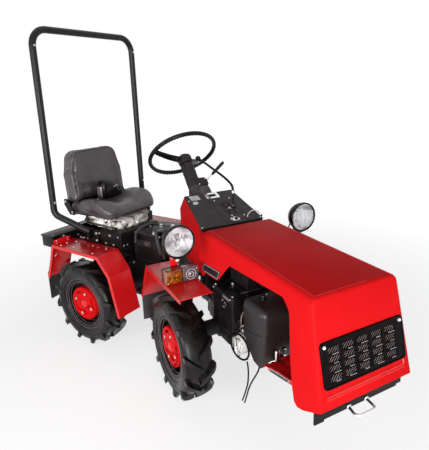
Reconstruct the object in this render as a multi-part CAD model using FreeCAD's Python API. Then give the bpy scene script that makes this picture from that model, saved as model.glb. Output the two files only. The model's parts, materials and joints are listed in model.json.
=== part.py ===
import FreeCAD, Part
import math
import os

# Articulated mini tractor. Millimetres, +Z up, ground at Z = 0. Both halves are drawn
# straight, with -Y forward, +X to the driver's left and the front axle over Y = 0. The
# rear half is then swung about the articulation pivot, as the tractor stands parked.

# Overall layout
WHEELBASE = 1030.0
HALF_TRACK = 349.0
PIVOT_Y = 269.0
PARKED_ANGLE = 27.8
ROLL_Z = 380.0

# Clearances
SEAT = 0.3
RUN = 0.05
MOVE_GAP = 8.0

# Wheels
TYRE_RADIUS = 284.5
TYRE_WIDTH = 165.0
RIM_RADIUS = 152.4
RIM_FLANGE = 172.0
RIM_WIDTH = 128.0
RIM_WALL = 5.0
DISC_OFFSET = 48.0
DISC_THICK = 8.0
HUB_RADIUS = 46.0
SHAFT_RADIUS = 24.0
STUB_END = 14.0

# Axles
AXLE_TUBE_RADIUS = 44.0
AXLE_TUBE_Z = 325.0
PORTAL_IN = 208.0
PORTAL_OUT = 248.0
PORTAL_RADIUS = 74.0
CASE_HALF_WIDTH = 105.0
CASE_HALF_LENGTH = 118.0
CASE_BOTTOM = 236.0
CASE_TOP = 425.0

# Front frame and pivot
RAIL_X = 118.0
RAIL_WIDTH = 26.0
RAIL_BOTTOM = 430.0
RAIL_TOP = 478.0
RAIL_FRONT = -905.0
RAIL_REAR = 205.0
LUG_THICK = 22.0
LUG_RADIUS = 44.0
LUG_LOW = 268.0
LUG_HIGH = 486.0
PIN_RADIUS = 21.0
BOSS_RADIUS = 42.0
ARM_FRONT = 100.0
ARM_Z = 600.0
ARM_BAR = 24.0
ARM_LAP = 34.0
YOKE_SHAFT_RADIUS = 36.0
YOKE_SHAFT_END = 575.0
BEARING_RADIUS = 60.0
BEARING_START = 405.0

# Hood
HOOD_REAR_Y = -63.0
HOOD_REAR_Z = 917.0
HOOD_REAR_HALF = 213.0
HOOD_FRONT_Y = -900.0
HOOD_FRONT_Z = 902.0
HOOD_FRONT_HALF = 209.5
HOOD_NOSE_Y = -986.0
HOOD_NOSE_Z = 512.0
HOOD_NOSE_HALF = 231.0
HOOD_WALL = 3.0
HOOD_EDGE_RADIUS = 26.0
HOOD_HINGE_Y = -938.0
HOOD_HINGE_Z = 508.0
HINGE_PIN_RADIUS = 7.0
EYE_RADIUS = 15.0
EAR_THICK = 8.0
PLATE_EAR_X = 136.0
HOOD_EAR_X = 152.0
EAR_NOTCH = 6.0
EAR_NOTCH_DEPTH = 18.0

# Grille
GRILLE_HALF = 203.0
GRILLE_LOW = 582.0
GRILLE_HIGH = 749.0
GRILLE_THICK = 9.0
GRILLE_CORNER = 16.0
GRILLE_LAP = 14.0

# Cowl and dash
COWL_WALL = 3.0
COWL_FRONT_Y = 9.0
COWL_FRONT_Z = 903.0
COWL_FRONT_HALF = 192.0
COWL_TOP_Y = 304.0
COWL_TOP_Z = 1015.0
COWL_TOP_HALF = 156.0
COWL_BACK_Y = 406.0
COWL_BACK_LOW = 640.0
COWL_FOOT_FRONT = 150.0
COWL_FOOT_LENGTH = 36.0
COWL_FOOT_HALF = 12.0
DASH_THICK = 5.0
DASH_LAP = 1.5

# Steering column and wheel
COLUMN_X = -30.0
COLUMN_Y = 360.0
COLUMN_TILT = 41.6
COLUMN_RADIUS = 41.0
BOOT_RADIUS = 62.0
BOOT_LENGTH = 78.0
COLUMN_LENGTH = 260.0
WHEEL_OFFSET = 345.5
STEER_RADIUS = 213.0
STEER_RIM = 12.0
STEER_HUB_RADIUS = 46.0
STEER_HUB_LENGTH = 52.0
STEER_SHAFT_RADIUS = 12.0
STEER_SPOKES = (165.0, -32.0)
SPOKE_HALF_WIDTH = 13.0
SPOKE_HALF_THICK = 5.0

# Gear lever
LEVER_X = 84.0
LEVER_Y = 150.0
LEVER_RADIUS = 8.0
LEVER_BEND = 60.0
LEVER_FOOT_RADIUS = 14.0
LEVER_FOOT_HEIGHT = 16.0
LEVER_KNOB_RADIUS = 17.0

# Front fenders
FENDER_SHEET = 4.0
FENDER_LIP = 20.0
FRONT_FENDER_IN = 275.0
FRONT_FENDER_OUT = 445.0
FRONT_FENDER_PROFILE = [(-273.0, 685.0), (208.5, 685.0), (345.0, 446.0)]
FRONT_FLAP_DROP = 160.0
FLAP_THICK = 6.0
FLAP_LAP = 36.0

# Rear fenders
REAR_FENDER_IN = 256.0
REAR_FENDER_OUT = 428.5
REAR_FENDER_SHAPE = [
    (-361.0, 289.0), (-299.0, 543.0), (-204.0, 656.0), (241.0, 656.0), (283.0, 533.0), (333.0, 405.0)]
REAR_FENDER_PROFILE = [(WHEELBASE + behind, height) for behind, height in REAR_FENDER_SHAPE]
REAR_FLAP_DROP = 165.0
FENDER_TABS = [(WHEELBASE - 180.0, WHEELBASE - 70.0), (WHEELBASE + 110.0, WHEELBASE + 185.0)]
FENDER_TAB_HEIGHT = 44.0
BOX_BRACKET_Y = WHEELBASE + 216.0
BOX_BRACKET_THICK = 5.0

# Lamps
HEADLIGHT_X = 374.0
HEADLIGHT_Y = -133.5
HEADLIGHT_Z = 911.0
HEADLIGHT_RADIUS = 83.0
HEADLIGHT_RIM = 18.0
HEADLIGHT_DEPTH = 92.0
MARKER_WIDTH = 180.0
MARKER_DEPTH = 62.0
MARKER_HEIGHT = 74.0
MARKER_FRONT = -105.0

# Rear body
SPINE_HALF = 98.0
SPINE_FRONT = 522.0
SPINE_REAR = WHEELBASE + 105.0
SPINE_LOW = 262.0
SPINE_HIGH = 560.0
BASE_HALF = 246.0
BASE_FRONT = WHEELBASE - 230.0
BASE_REAR = WHEELBASE + 192.0
BASE_LOW = 650.0
BASE_HIGH = 752.0
TANK_HALF = 150.0
TANK_LENGTH = 230.0
TANK_REAR = BASE_FRONT - 10.0
TANK_HIGH = 738.0
FOOT_OUT = 222.0
FOOT_LENGTH = 166.0
FOOT_REAR = BASE_FRONT - 58.0
FOOT_FRONT = FOOT_REAR - FOOT_LENGTH
FOOT_Z = 372.0
FOOT_THICK = 8.0

# Seat
CUSHION_HALF = 236.0
CUSHION_FRONT = WHEELBASE - 128.0
CUSHION_REAR = WHEELBASE + 266.0
CUSHION_LOW = 816.0
CUSHION_HIGH = 892.0
BACK_HALF_LOW = 226.0
BACK_HALF_HIGH = 186.0
BACK_HIGH = 1244.0
BACK_FRONT = WHEELBASE + 210.0
BACK_THICK = 104.0
BACK_LEAN = 5.0
BRACKET_THICK = 6.0
BRACKET_STUD = 11.0
WRAP_HALF = 158.0
WRAP_FRONT = WHEELBASE - 158.0
WRAP_REAR = WHEELBASE + 175.0

# Roll-over hoop
HOOP_TUBE = 21.0
HOOP_HALF = 402.6
HOOP_Y = WHEELBASE + 202.0
HOOP_TOP = 1996.0
HOOP_CORNER = 100.0
HOOP_BEND_Z = 864.0
HOOP_FOOT_X = 276.0
HOOP_FOOT_Y = WHEELBASE + 32.0
HOOP_FOOT_Z = 738.0
HOOP_BEND = 62.0
HOOP_PAD = 10.0

# Rear box, lamps and hitch
BOX_HALF = 408.0
BOX_FRONT = WHEELBASE + 256.0
BOX_REAR = WHEELBASE + 372.0
BOX_LOW = 622.0
BOX_HIGH = 702.0
TAIL_WIDTH = 130.0
TAIL_HEIGHT = 54.0
TAIL_DEPTH = 26.0
HITCH_Z = 330.0
HITCH_PLATE = 14.0
HITCH_HALF = 34.0
HITCH_END = WHEELBASE + 362.0
HITCH_GAP = 40.0
HITCH_BORE = 11.0

# Front attachments
TRAY_HALF = 206.0
TRAY_FRONT = -900.0
TRAY_REAR = -612.0
TRAY_LOW = 426.7
TRAY_WALL = 3.0
TRAY_HIGH = 470.0
PLATE_HALF = 221.5
PLATE_Y = -947.0
PLATE_THICK = 8.0
PLATE_LOW = 430.0
PLATE_HIGH = 490.0
HANDLE_X = -12.0
HANDLE_HALF = 43.0
HANDLE_SKEW = -18.0
HANDLE_Z = 444.0
HANDLE_REACH = 66.0
HANDLE_ROD = 6.0

# Engine
ENGINE_HALF = 118.0
ENGINE_FRONT = -385.0
ENGINE_REAR = -60.0
ENGINE_HIGH = 770.0
SUMP_LOW = 404.0
GUARD_OUT = 203.0
GUARD_FRONT = -325.0
GUARD_REAR = -118.0
GUARD_LOW = 446.0
GUARD_HIGH = 650.0
LOUVRE_EDGE = 24.0
LOUVRE_PITCH = 20.0
LOUVRE_SLOT = 9.0
LOUVRE_DEPTH = 9.0
CLEANER_OUT = 204.0
CLEANER_LEFT = 120.0
CLEANER_FRONT = -585.0
CLEANER_REAR = -405.0
CLEANER_LOW = 470.0
CLEANER_HIGH = 700.0
STARTER_Y = -345.0
STARTER_Z = 388.0
STARTER_RADIUS = 56.0
STARTER_OUT = 176.0
HOSE_RADIUS = 4.0

V = FreeCAD.Vector
COLUMN_SLOPE = math.tan(math.radians(COLUMN_TILT))
X_AXIS = V(1, 0, 0)
Y_AXIS = V(0, 1, 0)
Z_AXIS = V(0, 0, 1)
ORIGIN = V(0, 0, 0)


def block(x0, x1, y0, y1, z0, z1):
    return Part.makeBox(x1 - x0, y1 - y0, z1 - z0, V(x0, y0, z0))


def rod(start, end, radius):
    along = end.sub(start)
    return Part.makeCylinder(radius, along.Length, start, along)


def rod_x(radius, x0, x1, y, z):
    return rod(V(x0, y, z), V(x1, y, z), radius)


def rod_y(radius, y0, y1, x, z):
    return rod(V(x, y0, z), V(x, y1, z), radius)


def rod_z(radius, z0, z1, x, y):
    return rod(V(x, y, z0), V(x, y, z1), radius)


def face_of(points):
    return Part.Face(Part.makePolygon(points + [points[0]]))


def side_prism(outline, x0, x1):
    """Solid between two planes across the machine, from a side outline of (y, z)."""
    return face_of([V(x0, y, z) for y, z in outline]).extrude(V(x1 - x0, 0, 0))


def plan_prism(outline, z0, z1):
    """Upright solid from a plan outline of (x, y)."""
    return face_of([V(x, y, z0) for x, y in outline]).extrude(V(0, 0, z1 - z0))


def mirrored(shape):
    return shape.mirror(ORIGIN, X_AXIS)


def both_sides(shape):
    return [shape, mirrored(shape)]


def joined(first, *others):
    return first.fuse(list(others)).removeSplitter()


def rounded(shape, radius, chosen):
    """Fillet the edges for which chosen(edge) is true."""
    edges = [edge for edge in shape.Edges if chosen(edge)]
    return shape.makeFillet(radius, edges)


def runs_along(axis):
    def test(edge):
        ends = edge.Vertexes
        if len(ends) != 2:
            return False
        along = ends[1].Point.sub(ends[0].Point)
        return along.Length > 1.0 and abs(along.normalize().dot(axis)) > 0.999
    return test


def bent_tube(points, bend, radius):
    """Round bar along straight runs joined by tangent arcs of one bend radius."""
    return swept_bar(points, [bend] * (len(points) - 2), radius)


def swept_bar(points, bends, radius):
    """Round bar along straight runs, with a bend radius for each inner point."""
    edges = []
    start = points[0]
    for before, corner, after, bend in zip(points, points[1:], points[2:], bends):
        back = before.sub(corner).normalize()
        ahead = after.sub(corner).normalize()
        half = math.acos(max(-1.0, min(1.0, back.dot(ahead)))) / 2
        reach = bend / math.tan(half)
        inner = back.add(ahead).normalize().multiply(bend / math.sin(half))
        centre = corner.add(inner)
        middle = centre.sub(V(inner).normalize().multiply(bend))
        first = corner.add(V(back).multiply(reach))
        last = corner.add(V(ahead).multiply(reach))
        edges.append(Part.LineSegment(start, first).toShape())
        edges.append(Part.Arc(first, middle, last).toShape())
        start = last
    edges.append(Part.LineSegment(start, points[-1]).toShape())
    path = Part.Wire(edges)
    ring = Part.Wire(Part.Circle(points[0], points[1].sub(points[0]), radius).toShape())
    return path.makePipeShell([ring], True, False)


# ---------------------------------------------------------------- wheels and axles

def tyre(x, y):
    """Hollow-crowned tyre, closed by the rim, with room for the tread inside its outline."""
    half = TYRE_WIDTH / 2
    bead = RIM_WIDTH / 2 - RIM_WALL
    inner = RIM_RADIUS + SEAT
    flange = RIM_FLANGE + SEAT
    crown = TYRE_RADIUS
    outline = [
        (-bead, inner), (-bead, flange), (-half + 6, flange + 10), (-half, inner + 62), (-half, crown - 42),
        (-half * 0.80, crown - 6), (-half * 0.5, crown), (half * 0.5, crown), (half * 0.80, crown - 6),
        (half, crown - 42), (half, inner + 62), (half - 6, flange + 10), (bead, flange), (bead, inner)]
    ring = face_of([V(x + a, y, TYRE_RADIUS + r) for a, r in outline])
    return ring.revolve(V(x, y, TYRE_RADIUS), X_AXIS, 360)


def rim(side, y):
    """Rim with flanges and a dished centre plate; the hub runs on the axle's stub."""
    x = side * HALF_TRACK
    half = RIM_WIDTH / 2
    z = TYRE_RADIUS
    barrel = rod_x(RIM_RADIUS, x - half, x + half, y, z)
    for end in (-1, 1):
        flange_in = x + end * (half - RIM_WALL + SEAT)
        flange_out = x + end * half
        low, high = sorted((flange_in, flange_out))
        barrel = barrel.fuse(rod_x(RIM_FLANGE, low, high, y, z))
    barrel = barrel.cut(rod_x(RIM_RADIUS - RIM_WALL, x - half - 1, x + half + 1, y, z))
    plate_x = x + side * DISC_OFFSET
    low, high = sorted((plate_x, plate_x + side * DISC_THICK))
    plate = rod_x(RIM_RADIUS - 2, low, high, y, z)
    boss_in = x - side * 20
    low, high = sorted((boss_in, plate_x + side * DISC_THICK))
    hub = rod_x(HUB_RADIUS, low, high, y, z)
    wheel = joined(barrel, plate, hub)
    return wheel.cut(rod_x(SHAFT_RADIUS + RUN, x - 200, x + 200, y, z))


def axle(y):
    """Gear case, two axle tubes, the portal cases behind the wheels and their stub shafts."""
    case = block(-CASE_HALF_WIDTH, CASE_HALF_WIDTH, y - CASE_HALF_LENGTH, y + CASE_HALF_LENGTH,
                 CASE_BOTTOM, CASE_TOP)
    case = rounded(case, 30.0, runs_along(X_AXIS))
    tubes = rod_x(AXLE_TUBE_RADIUS, -PORTAL_OUT, PORTAL_OUT, y, AXLE_TUBE_Z)
    pieces = [tubes]
    for side in (-1, 1):
        low, high = sorted((side * PORTAL_IN, side * PORTAL_OUT))
        pieces.append(rod_x(PORTAL_RADIUS, low, high, y, TYRE_RADIUS))
        pieces.append(rod_x(PORTAL_RADIUS * 0.8, low, high, y, AXLE_TUBE_Z + 12))
        stub_end = side * (HALF_TRACK + DISC_OFFSET + DISC_THICK + STUB_END)
        low, high = sorted((side * PORTAL_IN, stub_end))
        pieces.append(rod_x(SHAFT_RADIUS, low, high, y, TYRE_RADIUS))
        cap_start = side * (HALF_TRACK + DISC_OFFSET + DISC_THICK) + side * SEAT * 3
        low, high = sorted((cap_start, stub_end))
        pieces.append(rod_x(SHAFT_RADIUS + 9, low, high, y, TYRE_RADIUS))
    return joined(case, *pieces)


# ---------------------------------------------------------------- front half

def front_frame():
    """Two rails, cross members, and the pivot lugs behind the front gear case."""
    pieces = []
    for side in (-1, 1):
        x0, x1 = sorted((side * (RAIL_X - RAIL_WIDTH / 2), side * (RAIL_X + RAIL_WIDTH / 2)))
        pieces.append(block(x0, x1, RAIL_FRONT, RAIL_REAR, RAIL_BOTTOM, RAIL_TOP))
    inner = RAIL_X - RAIL_WIDTH / 2
    for y in (RAIL_FRONT, -20.0):
        pieces.append(block(-inner, inner, y, y + 30, RAIL_BOTTOM, RAIL_TOP))
    web_front = CASE_HALF_LENGTH + SEAT
    web_rear = PIVOT_Y - BOSS_RADIUS - MOVE_GAP
    pieces.append(block(-60, 60, web_front, web_rear, LUG_LOW, LUG_HIGH + LUG_THICK))
    pieces.append(block(-inner, inner, RAIL_REAR - 40, RAIL_REAR, RAIL_BOTTOM, RAIL_TOP))
    for z in (LUG_LOW, LUG_HIGH):
        lug = rod_z(LUG_RADIUS, z, z + LUG_THICK, 0, PIVOT_Y)
        strap = block(-LUG_RADIUS, LUG_RADIUS, web_front, PIVOT_Y, z, z + LUG_THICK)
        pieces += [lug, strap]
    rear = ARM_FRONT + ARM_BAR
    outer = FRONT_FENDER_IN + ARM_LAP
    top = FRONT_FENDER_PROFILE[0][1] - FENDER_SHEET - SEAT
    for side in (-1, 1):
        x0, x1 = sorted((side * (RAIL_X - ARM_BAR / 2), side * (RAIL_X + ARM_BAR / 2)))
        pieces.append(block(x0, x1, ARM_FRONT, rear, RAIL_TOP - 1, ARM_Z + ARM_BAR))
        x0, x1 = sorted((side * RAIL_X, side * outer))
        pieces.append(block(x0, x1, ARM_FRONT, rear, ARM_Z, ARM_Z + ARM_BAR))
        x0, x1 = sorted((side * (outer - ARM_BAR), side * outer))
        pieces.append(block(x0, x1, ARM_FRONT, rear, ARM_Z, top))
    frame = joined(*pieces)
    bore = rod_z(PIN_RADIUS + RUN, LUG_LOW - 1, LUG_HIGH + LUG_THICK + 1, 0, PIVOT_Y)
    return frame.cut(bore)


def engine_block():
    """Plain block of the engine between the rails, on its sump."""
    low = RAIL_TOP + SEAT
    body = block(-ENGINE_HALF, ENGINE_HALF, ENGINE_FRONT, ENGINE_REAR, low, ENGINE_HIGH)
    sump_half = RAIL_X - RAIL_WIDTH / 2 - SEAT
    sump = block(-sump_half, sump_half, ENGINE_FRONT + 30, ENGINE_REAR - 80, SUMP_LOW, low)
    return rounded(joined(body, sump), 12.0, runs_along(Z_AXIS))


def muffler_guard():
    """Louvred sheet box round the muffler on the right of the engine."""
    inner = ENGINE_HALF + SEAT
    lower_in = RAIL_X + RAIL_WIDTH / 2 + SEAT
    body = block(-GUARD_OUT, -inner, GUARD_FRONT, GUARD_REAR, RAIL_TOP + SEAT, GUARD_HIGH)
    skirt = block(-GUARD_OUT, -lower_in, GUARD_FRONT, GUARD_REAR, GUARD_LOW, RAIL_TOP + 10)
    box = rounded(joined(body, skirt), 10.0, runs_along(Z_AXIS))
    count = int((GUARD_HIGH - GUARD_LOW - 2 * LOUVRE_EDGE) / LOUVRE_PITCH)
    for step in range(count):
        z = GUARD_LOW + LOUVRE_EDGE + step * LOUVRE_PITCH
        box = box.cut(block(-GUARD_OUT - 1, -GUARD_OUT + LOUVRE_DEPTH, GUARD_FRONT + LOUVRE_EDGE,
                            GUARD_REAR - LOUVRE_EDGE, z, z + LOUVRE_SLOT))
    return box


def air_cleaner():
    """Moulded two-part air cleaner case across the front of the engine, tapered below its seam."""
    seam = CLEANER_LOW + 90
    body = block(-CLEANER_OUT, CLEANER_LEFT, CLEANER_FRONT, CLEANER_REAR, seam, CLEANER_HIGH)
    body = rounded(body, 24.0, runs_along(Z_AXIS))
    inset = 8.0
    taper = 22.0

    def ring(z, draw):
        x0 = -CLEANER_OUT + draw
        x1 = CLEANER_LEFT - draw
        y0 = CLEANER_FRONT + draw
        y1 = CLEANER_REAR - draw
        return Part.makePolygon([V(x0, y0, z), V(x1, y0, z), V(x1, y1, z), V(x0, y1, z), V(x0, y0, z)])

    lower = Part.makeLoft([ring(RAIL_TOP + SEAT, inset + taper), ring(seam, inset)], True, True)
    middle = (CLEANER_FRONT + CLEANER_REAR) / 2
    knob = rod_z(13.0, CLEANER_HIGH, CLEANER_HIGH + 20, -CLEANER_OUT + 62, middle)
    return joined(body, lower, knob)


def starter():
    """Starter motor, a can with its end towards the right-hand side."""
    inner = RAIL_X - RAIL_WIDTH / 2
    can = rod_x(STARTER_RADIUS, -STARTER_OUT, -inner, STARTER_Y, STARTER_Z)
    under_rail = block(-RAIL_X - RAIL_WIDTH, -inner + 1, STARTER_Y - 90, STARTER_Y + 90,
                       RAIL_BOTTOM - SEAT, RAIL_TOP + 60)
    cap = rod_x(STARTER_RADIUS * 0.62, -STARTER_OUT - 14, -STARTER_OUT, STARTER_Y, STARTER_Z)
    return joined(can.cut(under_rail), cap)


def engine_tray():
    """Shallow tray across the rails, under the front of the engine bay."""
    outer = block(-TRAY_HALF, TRAY_HALF, TRAY_FRONT, TRAY_REAR, TRAY_LOW, TRAY_HIGH)
    inner = block(-TRAY_HALF + TRAY_WALL, TRAY_HALF - TRAY_WALL, TRAY_FRONT + TRAY_WALL, TRAY_REAR + 1,
                  TRAY_LOW + TRAY_WALL, TRAY_HIGH + 1)
    rails = RAIL_X + RAIL_WIDTH / 2 + SEAT
    gap = block(-rails, rails, TRAY_FRONT - 1, TRAY_REAR, RAIL_BOTTOM - SEAT, TRAY_HIGH + 1)
    return outer.cut(inner).cut(gap)


def front_plate():
    """Bumper plate across the rail ends, with its returns and the hood's two hinge ears."""
    front = PLATE_Y
    back = PLATE_Y + PLATE_THICK
    plate = block(-PLATE_HALF, PLATE_HALF, front, back, PLATE_LOW, PLATE_HIGH)
    notch = block(-PLATE_HALF + 55, PLATE_HALF - 125, front - 1, back + 1, PLATE_LOW - 12, PLATE_LOW + 8)
    plate = plate.cut(notch)
    returns = []
    for side in (-1, 1):
        x0, x1 = sorted((side * (HOOD_EAR_X - EAR_NOTCH), side * (HOOD_EAR_X + EAR_THICK + EAR_NOTCH)))
        plate = plate.cut(block(x0, x1, front - 1, back + 1, PLATE_HIGH - EAR_NOTCH_DEPTH, PLATE_HIGH + 1))
    for side in (-1, 1):
        x0, x1 = sorted((side * PLATE_HALF, side * (PLATE_HALF - 6)))
        returns.append(block(x0, x1, back - 1, back + 30, PLATE_LOW + 6, PLATE_HIGH))
        x0, x1 = sorted((side * (RAIL_X - RAIL_WIDTH / 2), side * (RAIL_X + RAIL_WIDTH / 2)))
        returns.append(block(x0, x1, back - 1, RAIL_FRONT - SEAT, PLATE_LOW + 12, RAIL_TOP))
        x0, x1 = sorted((side * PLATE_EAR_X, side * (PLATE_EAR_X + EAR_THICK)))
        ear = block(x0, x1, HOOD_HINGE_Y - 9, HOOD_HINGE_Y + 9, PLATE_HIGH - 20, HOOD_HINGE_Z)
        eye = rod_x(EYE_RADIUS, x0, x1, HOOD_HINGE_Y, HOOD_HINGE_Z)
        returns += [ear.fuse(eye)]
        x0, x1 = sorted((side * PLATE_EAR_X, side * (HOOD_EAR_X + EAR_THICK + 6)))
        returns.append(rod_x(HINGE_PIN_RADIUS, x0, x1, HOOD_HINGE_Y, HOOD_HINGE_Z))
    return joined(plate, *returns)


def tow_handle():
    """U-shaped rod handle on the bumper plate."""
    root = PLATE_Y - SEAT
    reach = PLATE_Y - HANDLE_REACH
    points = [V(HANDLE_X - HANDLE_HALF, root, HANDLE_Z),
              V(HANDLE_X - HANDLE_HALF + HANDLE_SKEW, reach, HANDLE_Z + 16),
              V(HANDLE_X + HANDLE_HALF + HANDLE_SKEW, reach, HANDLE_Z + 16),
              V(HANDLE_X + HANDLE_HALF, root, HANDLE_Z)]
    bar = bent_tube(points, 22.0, HANDLE_ROD)
    keep = block(-PLATE_HALF, PLATE_HALF, reach - 50, root, 0, 1000)
    return bar.common(keep)


def hood_section(y, z_top, half_top, half_bottom, z_bottom, inset):
    """Closed outline of the hood across the machine at one station, drawn in by a wall."""
    radius = HOOD_EDGE_RADIUS - inset
    top = z_top - inset
    wide = half_top - inset
    low = half_bottom - inset
    flat = V(-wide + radius, y, top)
    flat_end = V(wide - radius, y, top)
    corner = radius * (1 - math.sqrt(0.5))
    left_mid = V(-wide + corner, y, top - corner)
    right_mid = V(wide - corner, y, top - corner)
    left = V(-wide, y, top - radius)
    right = V(wide, y, top - radius)
    low_left = V(-low, y, z_bottom)
    low_right = V(low, y, z_bottom)
    return Part.Wire([
        Part.LineSegment(flat, flat_end).toShape(), Part.Arc(flat_end, right_mid, right).toShape(),
        Part.LineSegment(right, low_right).toShape(), Part.LineSegment(low_right, low_left).toShape(),
        Part.LineSegment(low_left, left).toShape(), Part.Arc(left, left_mid, flat).toShape()])


def hood_body(inset):
    """Solid of the hood's outline: a box that flares downwards, cut to its nose slope."""
    z_bottom = HOOD_NOSE_Z - 60
    flare = (HOOD_NOSE_HALF - HOOD_FRONT_HALF) / (HOOD_FRONT_Z - HOOD_NOSE_Z)
    drop = HOOD_FRONT_Z - z_bottom
    rear = hood_section(HOOD_REAR_Y + 120, HOOD_REAR_Z, HOOD_REAR_HALF,
                        HOOD_REAR_HALF + flare * drop, z_bottom, inset)
    front = hood_section(HOOD_NOSE_Y - 60, HOOD_FRONT_Z, HOOD_FRONT_HALF,
                         HOOD_FRONT_HALF + flare * drop, z_bottom, inset)
    return Part.makeLoft([rear, front], True, True)


def nose_y(z):
    """Y of the hood's sloping front at a height."""
    slope = (HOOD_NOSE_Y - HOOD_FRONT_Y) / (HOOD_NOSE_Z - HOOD_FRONT_Z)
    return HOOD_FRONT_Y + slope * (z - HOOD_FRONT_Z)


def hood():
    """One-piece hood: roof, flared sides with their openings, and the sloping front."""
    side_outline = [
        (HOOD_REAR_Y, HOOD_REAR_Z + 30), (HOOD_REAR_Y - 1, HOOD_REAR_Z), (HOOD_REAR_Y + 66, 748.0),
        (-140.0, 706.0), (-218.0, 706.0), (-332.0, 826.0), (-742.0, 846.0), (-782.0, 806.0),
        (-820.0, 540.0), (-836.0, 488.0), (-862.0, HOOD_NOSE_Z - 40), (-948.0, HOOD_NOSE_Z - 32),
        (HOOD_NOSE_Y, HOOD_NOSE_Z), (HOOD_FRONT_Y, HOOD_FRONT_Z), (HOOD_FRONT_Y, HOOD_FRONT_Z + 45)]
    window = side_prism(side_outline, -400, 400)
    outside = hood_body(0.0).common(window)
    front_inner_low = (nose_y(300.0) + HOOD_WALL, 300.0)
    front_inner_high = (nose_y(HOOD_FRONT_Z) + HOOD_WALL, HOOD_FRONT_Z)
    core_outline = [front_inner_low, front_inner_high, (HOOD_REAR_Y + 200, HOOD_REAR_Z), (200.0, 300.0)]
    core = hood_body(HOOD_WALL).common(side_prism(core_outline, -400, 400))
    shell = outside.cut(core)
    low = GRILLE_LOW + GRILLE_LAP
    high = GRILLE_HIGH - GRILLE_LAP
    opening = side_prism([(nose_y(low) - 40, low), (nose_y(high) - 40, high),
                          (nose_y(high) + 60, high), (nose_y(low) + 60, low)],
                         -GRILLE_HALF + GRILLE_LAP, GRILLE_HALF - GRILLE_LAP)
    shell = shell.cut(opening)
    ears = []
    for side in (-1, 1):
        x0, x1 = sorted((side * HOOD_EAR_X, side * (HOOD_EAR_X + EAR_THICK)))
        eye = rod_x(EYE_RADIUS, x0, x1, HOOD_HINGE_Y, HOOD_HINGE_Z)
        foot = HOOD_NOSE_Z + 6
        arm = side_prism([(nose_y(foot) + 1, foot), (HOOD_HINGE_Y, HOOD_HINGE_Z),
                          (HOOD_HINGE_Y, HOOD_HINGE_Z + EYE_RADIUS),
                          (nose_y(foot + 40) + 1, foot + 40)], x0, x1)
        ears += [eye, arm]
    shell = joined(shell, *ears)
    for side in (-1, 1):
        x0, x1 = sorted((side * (HOOD_EAR_X - 2), side * (HOOD_EAR_X + EAR_THICK + 8)))
        shell = shell.cut(rod_x(HINGE_PIN_RADIUS + RUN, x0, x1, HOOD_HINGE_Y, HOOD_HINGE_Z))
    return shell


def grille():
    """Grille plate lying on the hood's sloping front, with its mesh windows."""
    def face_y(z, out):
        return nose_y(z) - SEAT - out
    low, high = GRILLE_LOW, GRILLE_HIGH
    plate = side_prism([(face_y(low, 0), low), (face_y(low, GRILLE_THICK), low),
                        (face_y(high, GRILLE_THICK), high), (face_y(high, 0), high)],
                       -GRILLE_HALF, GRILLE_HALF)
    return rounded(plate, GRILLE_CORNER,
                   lambda e: abs(e.Length - GRILLE_THICK) < 0.2 and len(e.Vertexes) == 2)


def cowl_sections(inset):
    """Plan outline of the cowl, which narrows towards the driver."""
    taper = (COWL_FRONT_HALF - COWL_TOP_HALF) / (COWL_TOP_Y - COWL_FRONT_Y)
    front = COWL_FRONT_Y + inset
    back = COWL_BACK_Y - inset
    front_half = COWL_FRONT_HALF - taper * inset - inset
    back_half = COWL_FRONT_HALF - taper * (COWL_BACK_Y - COWL_FRONT_Y) - inset
    return [(-front_half, front), (front_half, front), (back_half, back), (-back_half, back)]


def cowl():
    """Red cowl behind the hood: two sides, a rear face and the slope that carries the column."""
    back_z = column_slope(COWL_BACK_Y)
    outer_side = [(COWL_FRONT_Y, COWL_BACK_LOW), (COWL_FRONT_Y, COWL_FRONT_Z), (COWL_TOP_Y, COWL_TOP_Z),
                  (COWL_BACK_Y, back_z), (COWL_BACK_Y, COWL_BACK_LOW)]
    w = COWL_WALL
    inner_side = [(COWL_FRONT_Y - 10, COWL_BACK_LOW - 10), (COWL_FRONT_Y - 10, COWL_FRONT_Z - w - 4),
                  (COWL_TOP_Y, COWL_TOP_Z - w - 1), (COWL_BACK_Y - w, column_slope(COWL_BACK_Y - w) - w - 1),
                  (COWL_BACK_Y - w, COWL_BACK_LOW - 10)]
    outer = plan_prism(cowl_sections(0.0), 500, 1200).common(side_prism(outer_side, -300, 300))
    inner = plan_prism(cowl_sections(w), 500, 1200).common(side_prism(inner_side, -300, 300))
    shell = outer.cut(inner)
    feet = []
    front = COWL_FOOT_FRONT
    rear = front + COWL_FOOT_LENGTH
    taper = (COWL_FRONT_HALF - COWL_TOP_HALF) / (COWL_TOP_Y - COWL_FRONT_Y)
    wall = COWL_FRONT_HALF - taper * (rear - COWL_FRONT_Y) - 1
    for side in (-1, 1):
        x0, x1 = sorted((side * (RAIL_X - COWL_FOOT_HALF), side * (RAIL_X + COWL_FOOT_HALF)))
        feet.append(block(x0, x1, front, rear, RAIL_TOP + SEAT, COWL_BACK_LOW + 50))
        x0, x1 = sorted((side * (RAIL_X - COWL_FOOT_HALF), side * wall))
        feet.append(block(x0, x1, front, rear, COWL_BACK_LOW + 30, COWL_BACK_LOW + 50))
    return joined(shell, *feet)


def dash_slope(y):
    """Height of the cowl's sloping top at a distance behind the front axle."""
    return COWL_FRONT_Z + (y - COWL_FRONT_Y) * (COWL_TOP_Z - COWL_FRONT_Z) / (COWL_TOP_Y - COWL_FRONT_Y)


def column_slope(y):
    """Height of the cowl's rear slope, which is square to the steering column."""
    return COWL_TOP_Z - (y - COWL_TOP_Y) * COLUMN_SLOPE


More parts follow.
